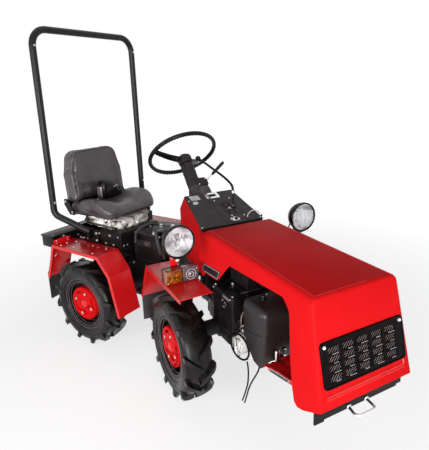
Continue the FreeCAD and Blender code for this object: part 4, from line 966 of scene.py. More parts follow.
BADGE = [(-50, 704), (-226, 716), (-249, 766), (-73, 750)]
BADGE_MIDDLE = (-149.5, 734)
badge = Piece("side_badges", "hood")
for side in (-1, 1):
    along = Vector((0, BADGE[0][0] - BADGE[1][0], BADGE[0][1] - BADGE[1][1])) * side
    out = Vector((side, 0, HOOD_FLARE)).normalized()
    middle = Vector((side * 221.4, *BADGE_MIDDLE))
    lie = facing(middle, along, out.cross(along.normalized()))
    corners = [lie.inverted() @ Vector((middle.x, y, z)) for y, z in BADGE]
    edge, frame_line, inner = (
        eased([(p.x * wide, p.y * tall) for p in corners], radius)
        for wide, tall, radius in ((1, 1, 5), (0.955, 0.85, 4), (0.925, 0.74, 3)))
    badge.add(plate(edge, 2.2), "dark_plate", lie)
    badge.add(plate(frame_line, 0.6, [inner]), "pale_badge", lie @ Matrix.Translation((0, 0, 2.1)))
    badge.studs([lie @ Vector((p.x * 0.882, p.y * 0.54, 2.2)) for p in (corners[0], corners[2])], out, 2.6)
badge.done((), 0.4)

# The grille is drawn flat on the nose: X across, Y up the slope, Z out of it.
GRILLE_FACE = facing(on_nose(0, (582 + 749) / 2, 0.4), X, NOSE_UP)
GRILLE_HALF = (203, 85.5)
COLUMNS = [-143, -74, -5, 64, 133]
ROWS = [48, 15, -18, -51]
WINDOW = (27, 12)
WIRE_GAP = 13
grille = Piece("grille_plate", "hood")
half_x, half_y = GRILLE_HALF
outline = eased(rectangle(0, 0, half_x, half_y), 16, 6)
windows = [eased(rectangle(x, y, *WINDOW), 4, 3) for x in COLUMNS for y in ROWS]
grille.add(plate(outline, 5, windows), "ink", GRILLE_FACE)
edge_line = [(x * 0.982, y * 0.957, 5.5) for x, y in outline]
grille.add(tube([*edge_line, edge_line[0]], 3.4), "ink", GRILLE_FACE)
for x in COLUMNS:
    for y in ROWS:
        foot = y - WINDOW[1]
        grille.add(block(x - WINDOW[0], x + WINDOW[0], foot - 1, foot + 1.6, 4, 8.2, 0.8, 1),
                   "ink", GRILLE_FACE)
        # Painted highlight: a short zinc strip on each window's lower edge stands in for the light that edge
        # catches.
        painted_glint_half = 16 if (x + y) % 2 else 11
        grille.add(block(x + 4 - painted_glint_half, x + 4 + painted_glint_half, foot - 0.6, foot + 1.2, 7.6, 8.8, 0.4, 1),
                   "zinc", GRILLE_FACE)
for x in (-38.5, 30):
    grille.add(block(x - 1.2, x + 1.2, -70, 68, 4, 7.4, 0.6, 1), "ink", GRILLE_FACE)
for x in (-186, 186):
    grille.add(turned([(0, 0), (0, 8), (2, 8), (5, 6.5), (7.5, 3), (8.2, 0)], (x, 68, 5), Z, 28), "chrome",
               GRILLE_FACE)
# A dark sheet behind the wires: painted shade for the inside of the nose.
grille.add(block(-half_x + 16, half_x - 16, -half_y + 14, half_y - 14, -16, -14), "ink", GRILLE_FACE)
for k in range(45):
    offset = WIRE_GAP * k - half_x - half_y
    low = max(-half_y + 12, -half_x + 14 - offset)
    high = min(half_y - 12, half_x - 14 - offset)
    if high - low > 4:
        grille.add(rod((offset + low, low, -3), (offset + high, high, -3), 1.3, sides=6), "mesh", GRILLE_FACE)
grille.done(("grille",), 0.6)

# ------------------------------------------------------------------ front plate and tow handle

front = Piece("front_plate_steel", "front_half")
NOTCHED = [(-221, 430), (-176, 430), (-176, 438), (196, 438), (196, 446), (221, 446), (221, 490), (-221, 490)]
front.add(plate(NOTCHED, 8), "black", facing((0, -939, 0), X, Z))
front.twins("black", (136, 144, -952, -922, 486, 520, 6), (RAIL[0], RAIL[1], -939.5, -905, 434, 480, 3))
for side in (-1, 1):
    for near, far, radius, sides in ((130, 168, 6.9, 24), (128, 132, 10, 20)):
        front.add(rod((side * near, *HINGE), (side * far, *HINGE), radius, sides=sides), "zinc")
front.done(("front_plate",), 1.0)

handle = Piece("tow_handle_bar", "front_half")
HANDLE = [(-58, -944, 444), (-84, -1013, 456), (12, -1013, 456), (31, -944, 444)]
handle.add(tube(bent_path(HANDLE, (20, 20), 7), 6, 16), "chrome")
for x in (-58, 31):
    handle.add(turned([(0, 6), (0, 11), (3, 11), (6, 8), (6, 6)], (x, -947, 444), -Y, 24), "chrome")
handle.done(("tow_handle",), 0)
# ------------------------------------------------------------------ cowl and dash

# The cowl's front and top edges: place along the machine, height and half width.
COWL_FRONT = (9, 903, 192)
COWL_TOP = (304, 1015, 156)
COWL_BACK = 406
TILT = radians(41.6)
COWL_TAPER = (COWL_FRONT[2] - COWL_TOP[2]) / (COWL_TOP[0] - COWL_FRONT[0])


def dash_z(y):
    return COWL_FRONT[1] + (y - COWL_FRONT[0]) * (COWL_TOP[1] - COWL_FRONT[1]) / (COWL_TOP[0] - COWL_FRONT[0])


def rear_z(y):
    return COWL_TOP[1] - (y - COWL_TOP[0]) * tan(TILT)


def cowl_solid(inset):
    """The cowl's outline drawn in by a wall: sides that close up towards the driver, two slopes on top."""
    low = 640 - inset * 30
    front = COWL_FRONT[0] - inset * 10
    back = COWL_BACK - inset
    outline = [(front, low), (front, dash_z(front) - inset), (COWL_TOP[0], COWL_TOP[1] - inset * 1.3),
               (back, rear_z(back) - inset * 1.5), (back, low)]
    shape = side_plate(outline, -1, 1)
    for point in shape.verts:
        point.co.x *= COWL_FRONT[2] - COWL_TAPER * (point.co.y - COWL_FRONT[0]) - inset
    edges = [edge for edge in shape.edges
             if edge.verts[0].co.x * edge.verts[1].co.x > 0 and min(v.co.y for v in edge.verts) > front + 1]
    rounded(shape, edges, 5 - inset, 3)
    return shape


cowl = Piece("cowl_shell", "front_half")
cowl.add(cowl_solid(0), "red")
carve(cowl, cowl_solid(3))
cowl.twins("black", (106, 130, 152, 184, 478.4, 690, 3), (110, 168, 152, 184, 674, 690, 3))
cowl.twins("red", (166.5, 192.5, 9.5, 12.5, 645, 893, 1))
cowl.boxes("black", (-184, 184, -6, -2, 560, 897, 1))
for side in (-1, 1):
    cowl.studs([(side * (COWL_FRONT[2] - COWL_TAPER * 330), 339, z) for z in (650, 760)], X * side, 5)
cowl.done(("cowl",), 0.8)

# The dash is drawn flat on the cowl's slope: X across, Y up the slope towards the driver, Z off it.
DASH_UP = Vector((0, COWL_TOP[0] - COWL_FRONT[0], COWL_TOP[1] - COWL_FRONT[1]))
DASH = facing((0, COWL_FRONT[0], dash_z(COWL_FRONT[0]) + 0.3), X, DASH_UP)
DASH_OUT = DASH.to_3x3() @ Z
DASH_LENGTH = DASH_UP.length - 2
SLOPE = DASH_LENGTH / (COWL_TOP[0] - COWL_FRONT[0])
SHEET = 4.4
DASH_TOP = DASH @ Matrix.Translation((0, 0, SHEET))
SEAM = -33


def on_dash(x, y):
    """Place on the dash's flat for a place on the tractor."""
    return x, (y - COWL_FRONT[0]) * SLOPE


def dash_half(along):
    return COWL_FRONT[2] + 1.5 - COWL_TAPER * along / SLOPE


dash = Piece("dash_panels", "front_half")
# The gear lever's gate, cut through the panel on the driver's left.
GATE = eased([on_dash(x, y) for x, y in (
    (23, 178), (36, 178), (36, 150), (58, 150), (58, 184), (70, 184), (70, 150), (92, 150), (92, 128),
    (70, 128), (70, 88), (58, 88), (58, 128), (36, 128), (36, 92), (23, 92))], 3, 3)
for side, holes in ((-1, []), (1, [GATE])):
    seam = SEAM + 0.8 * side
    corners = [(seam, -2), (side * dash_half(0), -2), (side * dash_half(DASH_LENGTH), DASH_LENGTH),
               (seam, DASH_LENGTH)]
    radii = [2, 2, 9, 9]
    if side < 0:
        corners = [corners[i] for i in (1, 0, 3, 2)]
    dash.add(plate(eased(corners, radii), SHEET, holes), "plastic", DASH)
dash.add(block(-dash_half(0), dash_half(0), -5, -2.2, -34, 4.2, 1), "plastic", DASH)
dash.add(block(-30, 150, 60, 220, -2, 0.6), "dark_plate", DASH)
dash.add(tube([(*point, 4.6) for point in (*GATE, GATE[0])], 1.3, 8), "gloss", DASH)
x, y = on_dash(58, 138)
dash.add(block(x - 12, x + 6, y - 16, y + 10, 0.6, 3.6, 1.2), "silver_plate", DASH)
dash.add(plate(eased(rectangle(x, y, 46, 62), 8), 1.2, [eased(rectangle(x, y, 42, 58), 6)]), "plastic",
         DASH @ Matrix.Translation((0, 0, 4.3)))
SCREWS = ((-150, 252), (-3, 221), (98, 227), (101, 57), (-183, 14), (183, 14), (-128, 288), (30, 70))
dash.studs([DASH_TOP @ Vector((*on_dash(x, y), 0)) for x, y in SCREWS], DASH_OUT, 4.6)
dash.add(plate(eased(rectangle(*on_dash(-103, 272), 30, 23), 4), 1.2), "silver_plate", DASH_TOP)
x, y = on_dash(-120, 226)
oval = [(x + 16 * cos(turn), y + 13 * sin(turn)) for turn in around(28)]
dash.add(plate(oval, 1.0), "pale_badge", DASH_TOP)
dash.add(tube([(*point, 5.2) for point in (*oval, oval[0])], 0.9, 8), "zinc", DASH)

# A bright frame round a dark face, beside the seam.
x, y = on_dash(8, 272)
face = eased(rectangle(x, y, 28, 14), 4)
dash.add(plate(eased(rectangle(x, y, 42, 28), 5), 2.4, [face]), "chrome", DASH_TOP)
dash.add(plate(face, 1.0), "dark_plate", DASH_TOP)
dash.add(block(x - 15, x + 15, y - 5, y + 5, 5, 10, 2), "gloss", DASH)
for i in (-28, 28):
    dash.studs([DASH @ Vector((x + i, y + j, 6.6)) for j in (-18, 18)], DASH_OUT, 2.6)
for i in (-27, 27):
    dash.add(block(x + i - 2, x + i + 2, y - 12, y + 12, 6.4, 7.6, 0.5, 1), "zinc", DASH)

# A bracket with a bent wire, then a loop near the dash's left edge.
x, y = on_dash(32, 30)
dash.add(block(x - 16, x + 12, y - 11, y + 11, 4, 9, 2), "zinc", DASH)
dash.add(block(x - 5, x + 8, y - 6, y + 7, 8, 20, 3), "gloss", DASH)
wire = [(x - 22, y - 4, 6), (x - 8, y + 15, 15), (x + 16, y + 10, 10), (x + 19, y - 10, 6)]
dash.add(tube(bent_path(wire, (9, 9)), 2.2, 10), "chrome", DASH)
dash.bolts([DASH @ Vector(place) for place in ((x - 20, y + 14, SHEET), (x + 20, y + 2, SHEET))], DASH_OUT, 5)
x, y = on_dash(152, 44)
loop = [(x + 46 * cos(radians(a)), y - 14 + 22 * sin(radians(a)), 7 + 24 * sin(radians(a)) ** 2)
        for a in range(-20, 201, 20)]
dash.add(tube(loop, 2.4, 10, True), "zinc", DASH)
for x, y, _ in (loop[0], loop[-1]):
    dash.add(rod((x, y, 3), (x, y, 11), 5.5, 4.5, 14), "plastic", DASH)
dash.done(("dash_panel",), 0.5)

# ------------------------------------------------------------------ steering column, wheel and gear lever

AT_FOOT = (0, 0, 0)
COLUMN = facing((-30, 360, rear_z(360)), X, (0, cos(TILT), -sin(TILT)))
column = Piece("column_and_switch", "front_half")
BELLOWS = [(4, 58)]
for i in range(7):
    along = 8 + i * 10
    wide = 58 - i * 1.9
    BELLOWS += [(along, wide - 5), (along + 2.5, wide - 1), (along + 5, wide), (along + 7.5, wide - 1)]
COLUMN_TURNINGS = [
    ("plastic", 40, [(0, 0), (0, 62), (3, 63), (6, 61), (6, 40)]),
    ("flap", 48, [*BELLOWS, (80, 43), (86, 41.5)]),
    ("plastic", 48, [(80, 41), (252, 41), (257, 39.5), (260, 36), (260, 11)]),
    ("plastic", 48, [(132, 41), (133, 42.2), (138, 42.2), (139, 41)]),
    ("plastic", 48, [(196, 41), (197, 42.2), (202, 42.2), (203, 41)])]
for finish, sides, profile in COLUMN_TURNINGS:
    column.add(turned(profile, AT_FOOT, Z, sides), finish, COLUMN)
for i in range(6):
    column.add(ring((26 + 3 * i, -14, 10 + 11 * i), (0.12, -0.1, 1), 52 - 3.4 * i, 8.5, 40, 10),
               "flap", COLUMN)
column.add(rod((0, 0, 250), (0, 0, 325), 11.9), "zinc", COLUMN)
for row in ((2, 76, -40, 20, 72, 138, 9, 3), (8, 70, -44, -38, 80, 130, 3, 2),
            (74, 82, -36, -4, 84, 124, 3, 2)):
    column.add(block(*row), "plastic", COLUMN)
column.studs([COLUMN @ Vector(place) for place in ((16, -44, 88), (62, -44, 122))], COLUMN.to_3x3() @ -Y, 3.6)
stalk_root = COLUMN @ Vector((70, -24, 110))
stalk = Vector((136, 8, 108))
column.add(turned([(0, 12), (6, 11), (10, 7), (14, 5)], stalk_root - Vector((4, 0, 3)), stalk, 20), "flap")
column.add(rod(stalk_root, stalk_root + stalk, 4, sides=14), "zinc")
GRIP = ((0.36, 0), (0.36, 6.5), (0.42, 9.6), (0.9, 10.4), (0.97, 9.6), (1, 6), (1, 0))
column.add(turned([(stalk.length * part, radius) for part, radius in GRIP], stalk_root, stalk, 20), "plastic")
for i in range(5):
    at = stalk.length * (0.5 + 0.09 * i)
    column.add(turned([(at - 2, 9.6), (at - 1, 10.8), (at + 1, 10.8), (at + 2, 9.6)], stalk_root, stalk, 20),
               "plastic")
column.done(("steering_column",), 0.8)

WHEEL = COLUMN @ Matrix.Translation((0, 0, 345.5))
WHEEL_RADIUS = 213
GRIPS = 72
HUB = [(-78, 12.2), (-78, 40), (-75, 43), (-40, 45.5), (-30, 44), (-24, 38), (-22, 30), (-22, 12.2)]
wheel = Piece("steering_wheel_rim", "steering_wheel")
wheel.add(ring(AT_FOOT, Z, WHEEL_RADIUS, 13, 120, 14), "gloss", WHEEL)
for turn in around(GRIPS):
    at = Vector((cos(turn), sin(turn), 0)) * (WHEEL_RADIUS + 1) - Z * 10
    nub = ball(AT_FOOT, 1, 10)
    nub.transform(Matrix.Translation(at) @ Matrix.Rotation(turn, 4, "Z") @ Matrix.Diagonal((8, 6, 8, 1)))
    wheel.add(nub, "gloss", WHEEL)
wheel.add(turned(HUB, AT_FOOT, Z, 48, True), "plastic", WHEEL)
wheel.add(turned([(-23, 29), (-18, 28.5), (-14, 24), (-12.5, 12), (-12.5, 0)], AT_FOOT, Z, 40),
          "gloss", WHEEL)
for turn in around(16):
    at = Vector((cos(turn), sin(turn), 0)) * 43.6
    wheel.add(rod((at.x, at.y, -72), (at.x, at.y, -44), 2.2, sides=8), "plastic", WHEEL)
for angle in (-165, 32):
    out = Vector((cos(radians(angle)), sin(radians(angle)), 0))
    foot = out * 36 - Z * 49
    tip = out * (WHEEL_RADIUS - 4)
    lie = WHEEL @ facing(foot, tip - foot, Z.cross(out))
    reach = (tip - foot).length
    spoke = block(0, reach, -17, 17, -5.5, 5.5)
    bmesh.ops.subdivide_edges(spoke,
                              edges=[e for e in spoke.edges if abs(e.verts[0].co.x - e.verts[1].co.x) > 1],
                              cuts=7)
    for point in spoke.verts:
        u = point.co.x / reach
        point.co.y *= 1.4 - 0.6 * u
        point.co.z -= 7 * sin(pi * u)
    wheel.add(spoke, "gloss", lie)
    for offset in (-15, 15):
        ridge = [(reach * u, offset * (1.4 - 0.6 * u), 3 - 7 * sin(pi * u))
                 for u in (0.06, 0.25, 0.5, 0.75, 0.94)]
        wheel.add(tube(ridge, 5.5, 10, True), "gloss", lie)
wheel.done(("steering_wheel",), 0.8)

lever = Piece("gear_lever_rod", "front_half")
lever_foot = DASH @ Vector((*on_dash(84, 150), 5.2))
BENT = [(86, 150, 1040), (86, 150, 1072), (85, 172, 1090), (76, 262, 1124), (66, 340, 1144), (48, 440, 1182),
        (37, 494, 1196)]
KNOB = (36, 500, 1198)
KNOB_AXIS = (-34, 200, 62)
lever.add(turned([(0, 0), (0, 13.8), (3, 13.8), (6, 11), (12, 9), (16, 8)], lever_foot, DASH_OUT, 28), "flap")
lever.add(tube([lever_foot + DASH_OUT * 6, (85.5, 150, 1010), (86, 150, 1044)], 5.6, 14), "black")
lever.add(rod((86, 150, 1036), (86, 150, 1052), 8.6), "zinc")
lever.add(tube(BENT, 7.4, 14, True), "gloss")
lever.add(ball(KNOB, 17, 28), "gloss")
lever.add(turned([(-24, 8.5), (-14, 11), (-6, 12)], KNOB, KNOB_AXIS, 20), "gloss")
lever.add(ring((34.4, 509, 1200.6), KNOB_AXIS, 12, 1.6, 28, 8), "chrome")
lever.done(("gear_lever",), 0)
# ------------------------------------------------------------------ fenders, flaps and lamps

FENDER_SHEET = 4.0
FENDER_LIP = 20
FENDER_BEND = 9
FRONT_FENDER = [(-273, 685), (208.5, 685), (345, 446)]
REAR_FENDER = [(669, 289), (731, 543), (826, 656), (1271, 656), (1313, 533), (1363, 405)]


def strip(path, depth):
    """A path of (y, z) with arcs at its corners, and its copy set inside it by depth and run backwards."""
    corners = [Vector(corner) for corner in path]
    lines = [(b - a).normalized() for a, b in zip(corners, corners[1:])]
    normals = [Vector((-line.y, line.x)) for line in lines]
    inner = [corner - (before + after) * depth / (1 + before.dot(after))
             for corner, before, after in zip(corners, normals[:1] + normals, normals + normals[-1:])]
    bent = bent_path([(0, *corner) for corner in path], [FENDER_BEND] * (len(path) - 2), 4)
    return [point.yz for point in bent], inner[::-1]


def fender(name, body, side, path, inner, outer, node, trim):
    piece = Piece(name, body)
    line, under = strip(path, FENDER_SHEET)
    piece.add(side_plate(line + under, *outward(side, inner, outer)), "gloss_red")
    lip = side_plate(line + strip(path, FENDER_LIP)[1], *outward(side, outer - FENDER_SHEET, outer))
    piece.add(lip, "gloss_red")
    piece.add(tube([(side * (outer - 2), y, z - 0.4) for y, z in line], 2.4, 10), "gloss_red")
    trim(piece, side)
    piece.done((node,), 0.9, 30)


def front_trim(piece, side):
    piece.bolts([(side * 297, y, 685) for y in (104, 124)], Z, 5)
    bend, end = (Vector(corner) for corner in FRONT_FENDER[1:])
    along = (end - bend).normalized()
    at = end - along * 18
    piece.studs([(side * x, at.x + 4.5, at.y + 1) for x in (300, 360, 420)], (0, -along.y, along.x), 4.5)


def rear_trim(piece, side):
    piece.beside(side, "black", (250.2, 257, 850, 1215, 652, 656, 1), (246.3, 250.3, 850, 960, 652, 684, 3),
                 (246.3, 250.3, 1140, 1215, 652, 684, 3))
    piece.bolts([(side * 250.3, y, 670) for y in (870, 940, 1160, 1195)], X * side, 5)
    piece.beside(side, "red", (296, 426.5, 1246, 1251, 654, 690, 4), (262, 300, 1322, 1328, 470, 540, 3))
    piece.studs([(side * x, 1246, z) for x in (318, 404) for z in (663, 679)], -Y, 5)
    piece.studs([(side * x, y, 656) for x, y in (
        (300, 884), (398, 900), (300, 1010), (384, 1100), (300, 1180), (404, 1204), (352, 1212))], Z, 6.5)
    if side > 0:
        for y in (890, 985):
            piece.add(rod((352, y, 656), (352, y, 656.8), 7), "dark_plate")


for corner, side in SIDES:
    fender(corner + "_front_fender_sheet", "front_half", side, FRONT_FENDER, 275, 445,
           corner + "_front_fender", front_trim)
    fender(corner + "_rear_fender_sheet", "rear_half", side, REAR_FENDER, 256, 428.5,
           corner + "_rear_fender", rear_trim)


def flaps(name, body, node, edge_y, edge_z, inner, outer, drop):
    """Rubber flaps behind the fender ends, a little wavy, under a steel strip with its rivets."""
    piece = Piece(name, body)
    for side in (-1, 1):
        low, high = outward(side, inner + 4, outer - 6)
        sheet = block(low, high, edge_y + 0.4, edge_y + 6.2, edge_z - drop, edge_z + 36, 1.6, 1)
        bmesh.ops.subdivide_edges(sheet, edges=[e for e in sheet.edges if e.calc_length() > 60], cuts=9,
                                  use_grid_fill=True)
        for point in sheet.verts:
            hang = max(0.0, (edge_z - point.co.z) / drop)
            point.co.y += hang * (2.5 + 3.5 * sin(point.co.x * 0.05)) - 0.4 * hang
        piece.add(sheet, "flap")
        piece.add(block(low + 4, high - 4, edge_y + 6, edge_y + 9, edge_z + 6, edge_z + 26, 1), "black")
        for y, axis in ((edge_y + 9, Y), (edge_y, -Y)):
            piece.studs([(x, y, edge_z + 16) for x in (low + 18, (low + high) / 2, high - 18)], axis, 5)
    piece.done((node,), 0)


flaps("front_fender_flaps", "front_half", "front_flaps", 345.3, 446, 275, 445, 160)
flaps("rear_fender_flaps", "rear_half", "rear_flaps", 1363.3, 405, 256, 428.5, 165)

LAMP_AT = (374, -133.5, 911)
BOWL = [
    (7, 74), (1, 75.5), (0, 79), (3, 82.6), (9, 82.9), (18, 82.7), (21, 79.5), (30, 79), (46, 74), (64, 63),
    (80, 46), (90, 30), (92, 14), (92, 0), (89, 0), (89, 13), (87, 28), (77, 44), (61, 61), (43, 71.5),
    (24, 76), (10, 76.5), (7, 74)]
DISH = [(10, 76), (22, 72), (38, 62), (52, 46), (62, 26), (66, 12), (69, 12), (65, 28), (55, 48), (41, 64),
        (24, 74), (10, 76)]
BULB = [(66, 0), (66, 12), (44, 11), (40, 7), (39, 0)]
GLASS = [(6, 0), (6.4, 20), (7.2, 42), (8.6, 62), (10, 74.4), (13, 74.4), (11.6, 62), (10.2, 42), (9.4, 20),
         (9, 0)]


def headlight(name, side, node):
    """Lamp in its bowl on a bent bracket, with its nut, its lead and the facets of its reflector."""
    piece = Piece(name, "front_half")
    lamp_x, y, z = side * LAMP_AT[0], *LAMP_AT[1:]
    at = (lamp_x, y, z)
    for profile, finish, sides in ((BOWL, "gloss", 64), (DISH, "reflector", 64), (BULB, "chrome", 24),
                                   (GLASS, "glass", 64)):
        piece.add(turned(profile, at, Y, sides), finish)
    for x, turn in ((-38, 10), (-14, -14), (12, 12), (36, -8)):
        piece.add(block(-5, 5, 30, 34, -44, 44, 1.8, 1), "reflector",
                  Matrix.Translation((lamp_x + x, y, z)) @ Matrix.Rotation(radians(turn), 4, "Y"))
    low, high = lamp_x - 20, lamp_x + 20
    piece.boxes("red", (low, high, -42.4, -36.4, 685.4, 822, 2), (low, high, -42.4, -2.4, 685.4, 691, 2))
    piece.boxes("black", (low, high, y + 26, -36.4, 816, 822, 2))
    for foot, top, radius, end_radius, sides, finish in (
            (812, 858, 8.5, 8.5, 24, "zinc"), (804, 816, 13, 13, 6, "zinc"), (822, 833, 14, 11, 24, "black")):
        piece.add(rod((lamp_x, y + 40, foot), (lamp_x, y + 40, top), radius, end_radius, sides), finish)
    for x in (low + 8, high - 8):
        piece.bolt((x, -18, 691), Z, 5)
        piece.bolt((x, -42.4, 800), -Y, 5)
    lead = [(0, y + 88, z - 10), (12, y + 116, z - 50), (30, -26, 780), (52, -12, 720), (62, 10, 692)]
    piece.add(tube([(lamp_x - side * x, y, z) for x, y, z in lead], 4, 10, True), "flap")
    piece.done((node,), 0.6)


for corner, side in SIDES:
    headlight(corner + "_headlight_lamp", side, corner + "_headlight")

markers = Piece("marker_lamp_pair", "front_half")
markers.twins("plastic", (265, 445, -56, -43, 685.4, 759.2, 4, 2),
              (353.6, 356.4, -102, -55, 688, 757, 0.5, 1))
markers.twins("amber", (355.6, 444, -104.6, -55, 686.4, 758.4, 7, 3))
markers.twins("clear", (266, 354.6, -104.6, -55, 686.4, 758.4, 7, 3))
for side in (-1, 1):
    clear_middle = (side * 310, -104.2, 722)
    for profile, sides in (([(0, 25), (0, 28), (1.6, 28), (1.6, 25)], 40),
                           ([(0, 12), (0, 15), (2, 15), (2, 12)], 32)):
        markers.add(turned(profile, clear_middle, -Y, sides, True), "pale_badge")
    markers.add(turned([(0, 0), (0, 8), (3, 6), (4.5, 0)], clear_middle, -Y, 24), "chrome")
    amber_middle = Vector((side * 400, -104.4, 722))
    for turn in (38, 142, 218, 322):
        out = Vector((cos(radians(turn)), 0, sin(radians(turn))))
        markers.add(rod(amber_middle + out * 8, amber_middle + out * 32, 2.2, 1.0, 8), "pale_amber")
    markers.add(turned([(0, 0), (0, 11), (2, 9), (3, 0)], amber_middle, -Y, 24), "dark_amber")
    markers.studs([(side * 278, -104.4, 748), (side * 432, -104.4, 697)], -Y, 3.6)
markers.done(("marker_lamps",), 0)
# ------------------------------------------------------------------ engine, tray and front frame

engine = Piece("engine_castings", "front_half")
engine.boxes("cast", (-117, 117, -384, -61, 478.4, 600, 14, 3), (-104, 104, -354, -141, 404.4, 479, 8),
             (-90, -30, -286, -128, 646, 722, 6),
             *[(-96, -24, y, y + 5, 648, 736, 1.5, 1) for y in range(-292, -131, 20)])
engine.boxes("black", (-118, 40, -324, -100, 560, 650, 9, 3))
engine.boxes("plastic", (-20, 116, -300, -62, 590, 766, 18, 4))
for i in range(13):
    x = -136 + i * 8.6
    engine.add(block(x, x + 4, -303, -288, 649.5, 651.6, 0.8, 1), "mesh" if i > 4 else "silver_plate")
engine.bolt((-116.6, -180.4, 650), Z)
engine.bolts([(-80, -354.4, 430), (0, -354.4, 430), (80, -354.4, 430), (-90, -384, 520), (90, -384, 520)],
             -Y, 6)
engine.add(turned([(0, 0), (0, 92), (14, 92), (18, 86), (18, 60), (26, 54), (26, 0)], (10, -62, 560), Y),
           "cast")
engine.done(("engine_block",), 1.2)

GUARD_FACE = -203
EYE = (-242, 592)
LOUVRES = 11
guard = Piece("muffler_guard_box", "front_half")
guard.boxes("black", (GUARD_FACE, -118.4, -325, -118, 478.4, 650, 9, 3),
            (GUARD_FACE, -131.4, -325, -118, 446, 500, 9, 3))
for i in range(LOUVRES):
    z = 462 + i * 14.5
    for low, high in ((-312, -226), (-216, -132)):
        if abs(z - EYE[1]) < 30:
            low, high = (low, EYE[0] - 32) if low < -300 else (EYE[0] + 32, high)
        slat = block(GUARD_FACE - 5, GUARD_FACE + 1, low, high, z, z + 7, 1.6, 2)
        for point in slat.verts:
            if point.co.z > z + 4 and point.co.x < GUARD_FACE - 1:
                point.co.x += 4.6
        guard.add(slat, "black")
guard.add(turned([(0, 27), (0, 31), (3, 30), (4, 28.5), (3, 27)], (GUARD_FACE, *EYE), -X, 36, True), "black")
for i, turn in enumerate(around(10)):
    at = (GUARD_FACE, EYE[0] + 19 * cos(turn), EYE[1] + 19 * sin(turn))
    guard.add(turned([(0, 2.6), (0, 4.6), (2, 4.2), (2, 2.8)], at, -X, 14, True),
              "zinc" if i % 3 else "black")
guard.add(rod((GUARD_FACE, *EYE), (GUARD_FACE - 2, *EYE), 9), "cast")
guard.boxes("silver_plate", (-205, -202.6, -296, -238, 626, 640, 0.8, 1))
guard.boxes("dark_plate", (-204.6, -202.4, -300, -234, 622, 644, 0.8, 1))
guard.studs([(GUARD_FACE, y, 640) for y in (-308, -136)], -X, 5)
guard.bolts([(-190, y, 650) for y in (-308, -136)], Z, 5)
guard.done(("muffler_guard",), 0.8)

# The air cleaner's cover meets its body along a line that drops towards the rear.
SEAM_AT = Vector((0, -552, 578))
SEAM_TURN = Matrix.Translation(SEAM_AT) @ Matrix.Rotation(radians(-12.5), 4, "X")
SIDE_VIEW = [(-412, 546), (-579, 583), (-577, 434), (-560, 419), (-506, 425), (-454, 478), (-438, 508)]
INNER_VIEW = [(-438, 506), (-412, 546), (-579, 583), (-579, 478.8), (-454, 478.8)]
LIP = [(-205, -34), (121, -34), (121, 150), (-205, 150)]
cleaner = Piece("air_cleaner_case", "front_half")
upper = block(-204, 120, -585, -405, 460, 700, 36, 7)
bmesh.ops.bisect_plane(upper, geom=[*upper.verts, *upper.edges, *upper.faces], plane_co=SEAM_AT,
                       plane_no=SEAM_TURN.to_3x3() @ Z, clear_inner=True)
bmesh.ops.holes_fill(upper, edges=upper.edges, sides=0)
cleaner.add(upper, "satin")
cleaner.add(plate(eased(LIP, 37, 7), 3.4), "gloss", SEAM_TURN @ Matrix.Translation((0, 0, -1.7)))
body = side_plate(SIDE_VIEW, -199, -131.6)
rounded(body, [e for e in body.edges if all(v.co.x < -190 for v in e.verts)
               and abs(e.verts[0].co.z - e.verts[1].co.z) > 90], 32, 7)
cleaner.add(body, "satin")
cleaner.add(side_plate(INNER_VIEW, -150, 114), "satin")
cleaner.add(turned([(0, 0), (0, 20), (4, 19), (6, 13), (16, 12), (20, 8), (20, 0)],
                   (-124, -473, 699.5), Z, 32), "gloss")
cleaner.boxes("gloss", (-138, -110, -476, -470, 706, 718, 2))
cleaner.bolt((-92, -450, 700), Z, 5)
cleaner.done(("air_cleaner",), 1.0, 40)

CAN_AT = (-324, 408)
CAN = [(0, 0), (0, 54), (30, 56), (34, 54), (37, 56), (62, 56), (68, 52), (71, 46), (71, 40), (75, 37),
       (79, 35), (84, 33), (85, 26), (85, 0)]
CAN_WIRE = [(-188, -330, 440), (-190, -318, 400), (-190, -338, 352), (-190, -372, 360), (-188, -380, 404),
            (-184, -376, 432)]
starter = Piece("starter_can", "front_half")
starter.add(turned(CAN, (-105, *CAN_AT), -X, 56), "pale")
starter.bolts([(-176, CAN_AT[0] + 41 * cos(turn), CAN_AT[1] + 41 * sin(turn)) for turn in around(4, 45)],
              -X, 4)
starter.add(ring((-190, -368, 418), (1, 0.2, 0), 64, 5, 48, 10), "ink")
starter.add(tube(CAN_WIRE, 4.4, 10, True), "chrome")
starter.boxes("zinc", (-194, -178, -352, -338, 392, 446, 3))
starter.add(turned([(0, 0), (0, 9), (10, 9), (12, 6), (12, 0)],
                   (-190, CAN_AT[0] - 6, CAN_AT[1] - 14), -X, 20), "chrome")
starter.done(("starter_motor",), 0.6)

links = Piece("engine_linkage", "front_half")
for finish, radius, route in [
        ("mesh", 3.0, [(-150, -350, 590), (-168, -352, 566), (-176, -358, 540), (-174, -362, 506),
                       (-150, -366, 490)]),
        ("zinc", 1.8, [(-140, -390, 520), (-170, -384, 534), (-184, -366, 528), (-180, -350, 500),
                       (-160, -342, 480)]),
        ("chrome", 1.8, [(-190, -592, 452), (-182, -600, 470), (-168, -612, 480), (-158, -628, 484)]),
        ("flap", 4.6, [(-150, -120, 440), (-170, -190, 420), (-176, -270, 424), (-168, -330, 446),
                       (-130, -380, 470)]),
        ("flap", 3.6, [(-120, -100, 520), (-150, -80, 500), (-160, -60, 460), (-140, -30, 440),
                       (-118, -10, 452)])]:
    links.add(tube(route, radius, 10, True), finish)
links.boxes("cast", (-182, -164, -352, -336, 516, 548, 3))
links.boxes("chrome", (-178, -156, -650, -637, 482, 546, 5.5, 3))
links.boxes("black", (-172, -162, -651, -646, 492, 534, 2))
links.add(turned([(0, 0), (0, 8), (5, 11), (14, 11), (18, 7), (18, 0)],
                 (-101, -600, 500), (-0.3, -0.5, 1), 24), "gloss")
links.bolt((-101, -612, 512), (-0.3, -1, 0.4), 5)
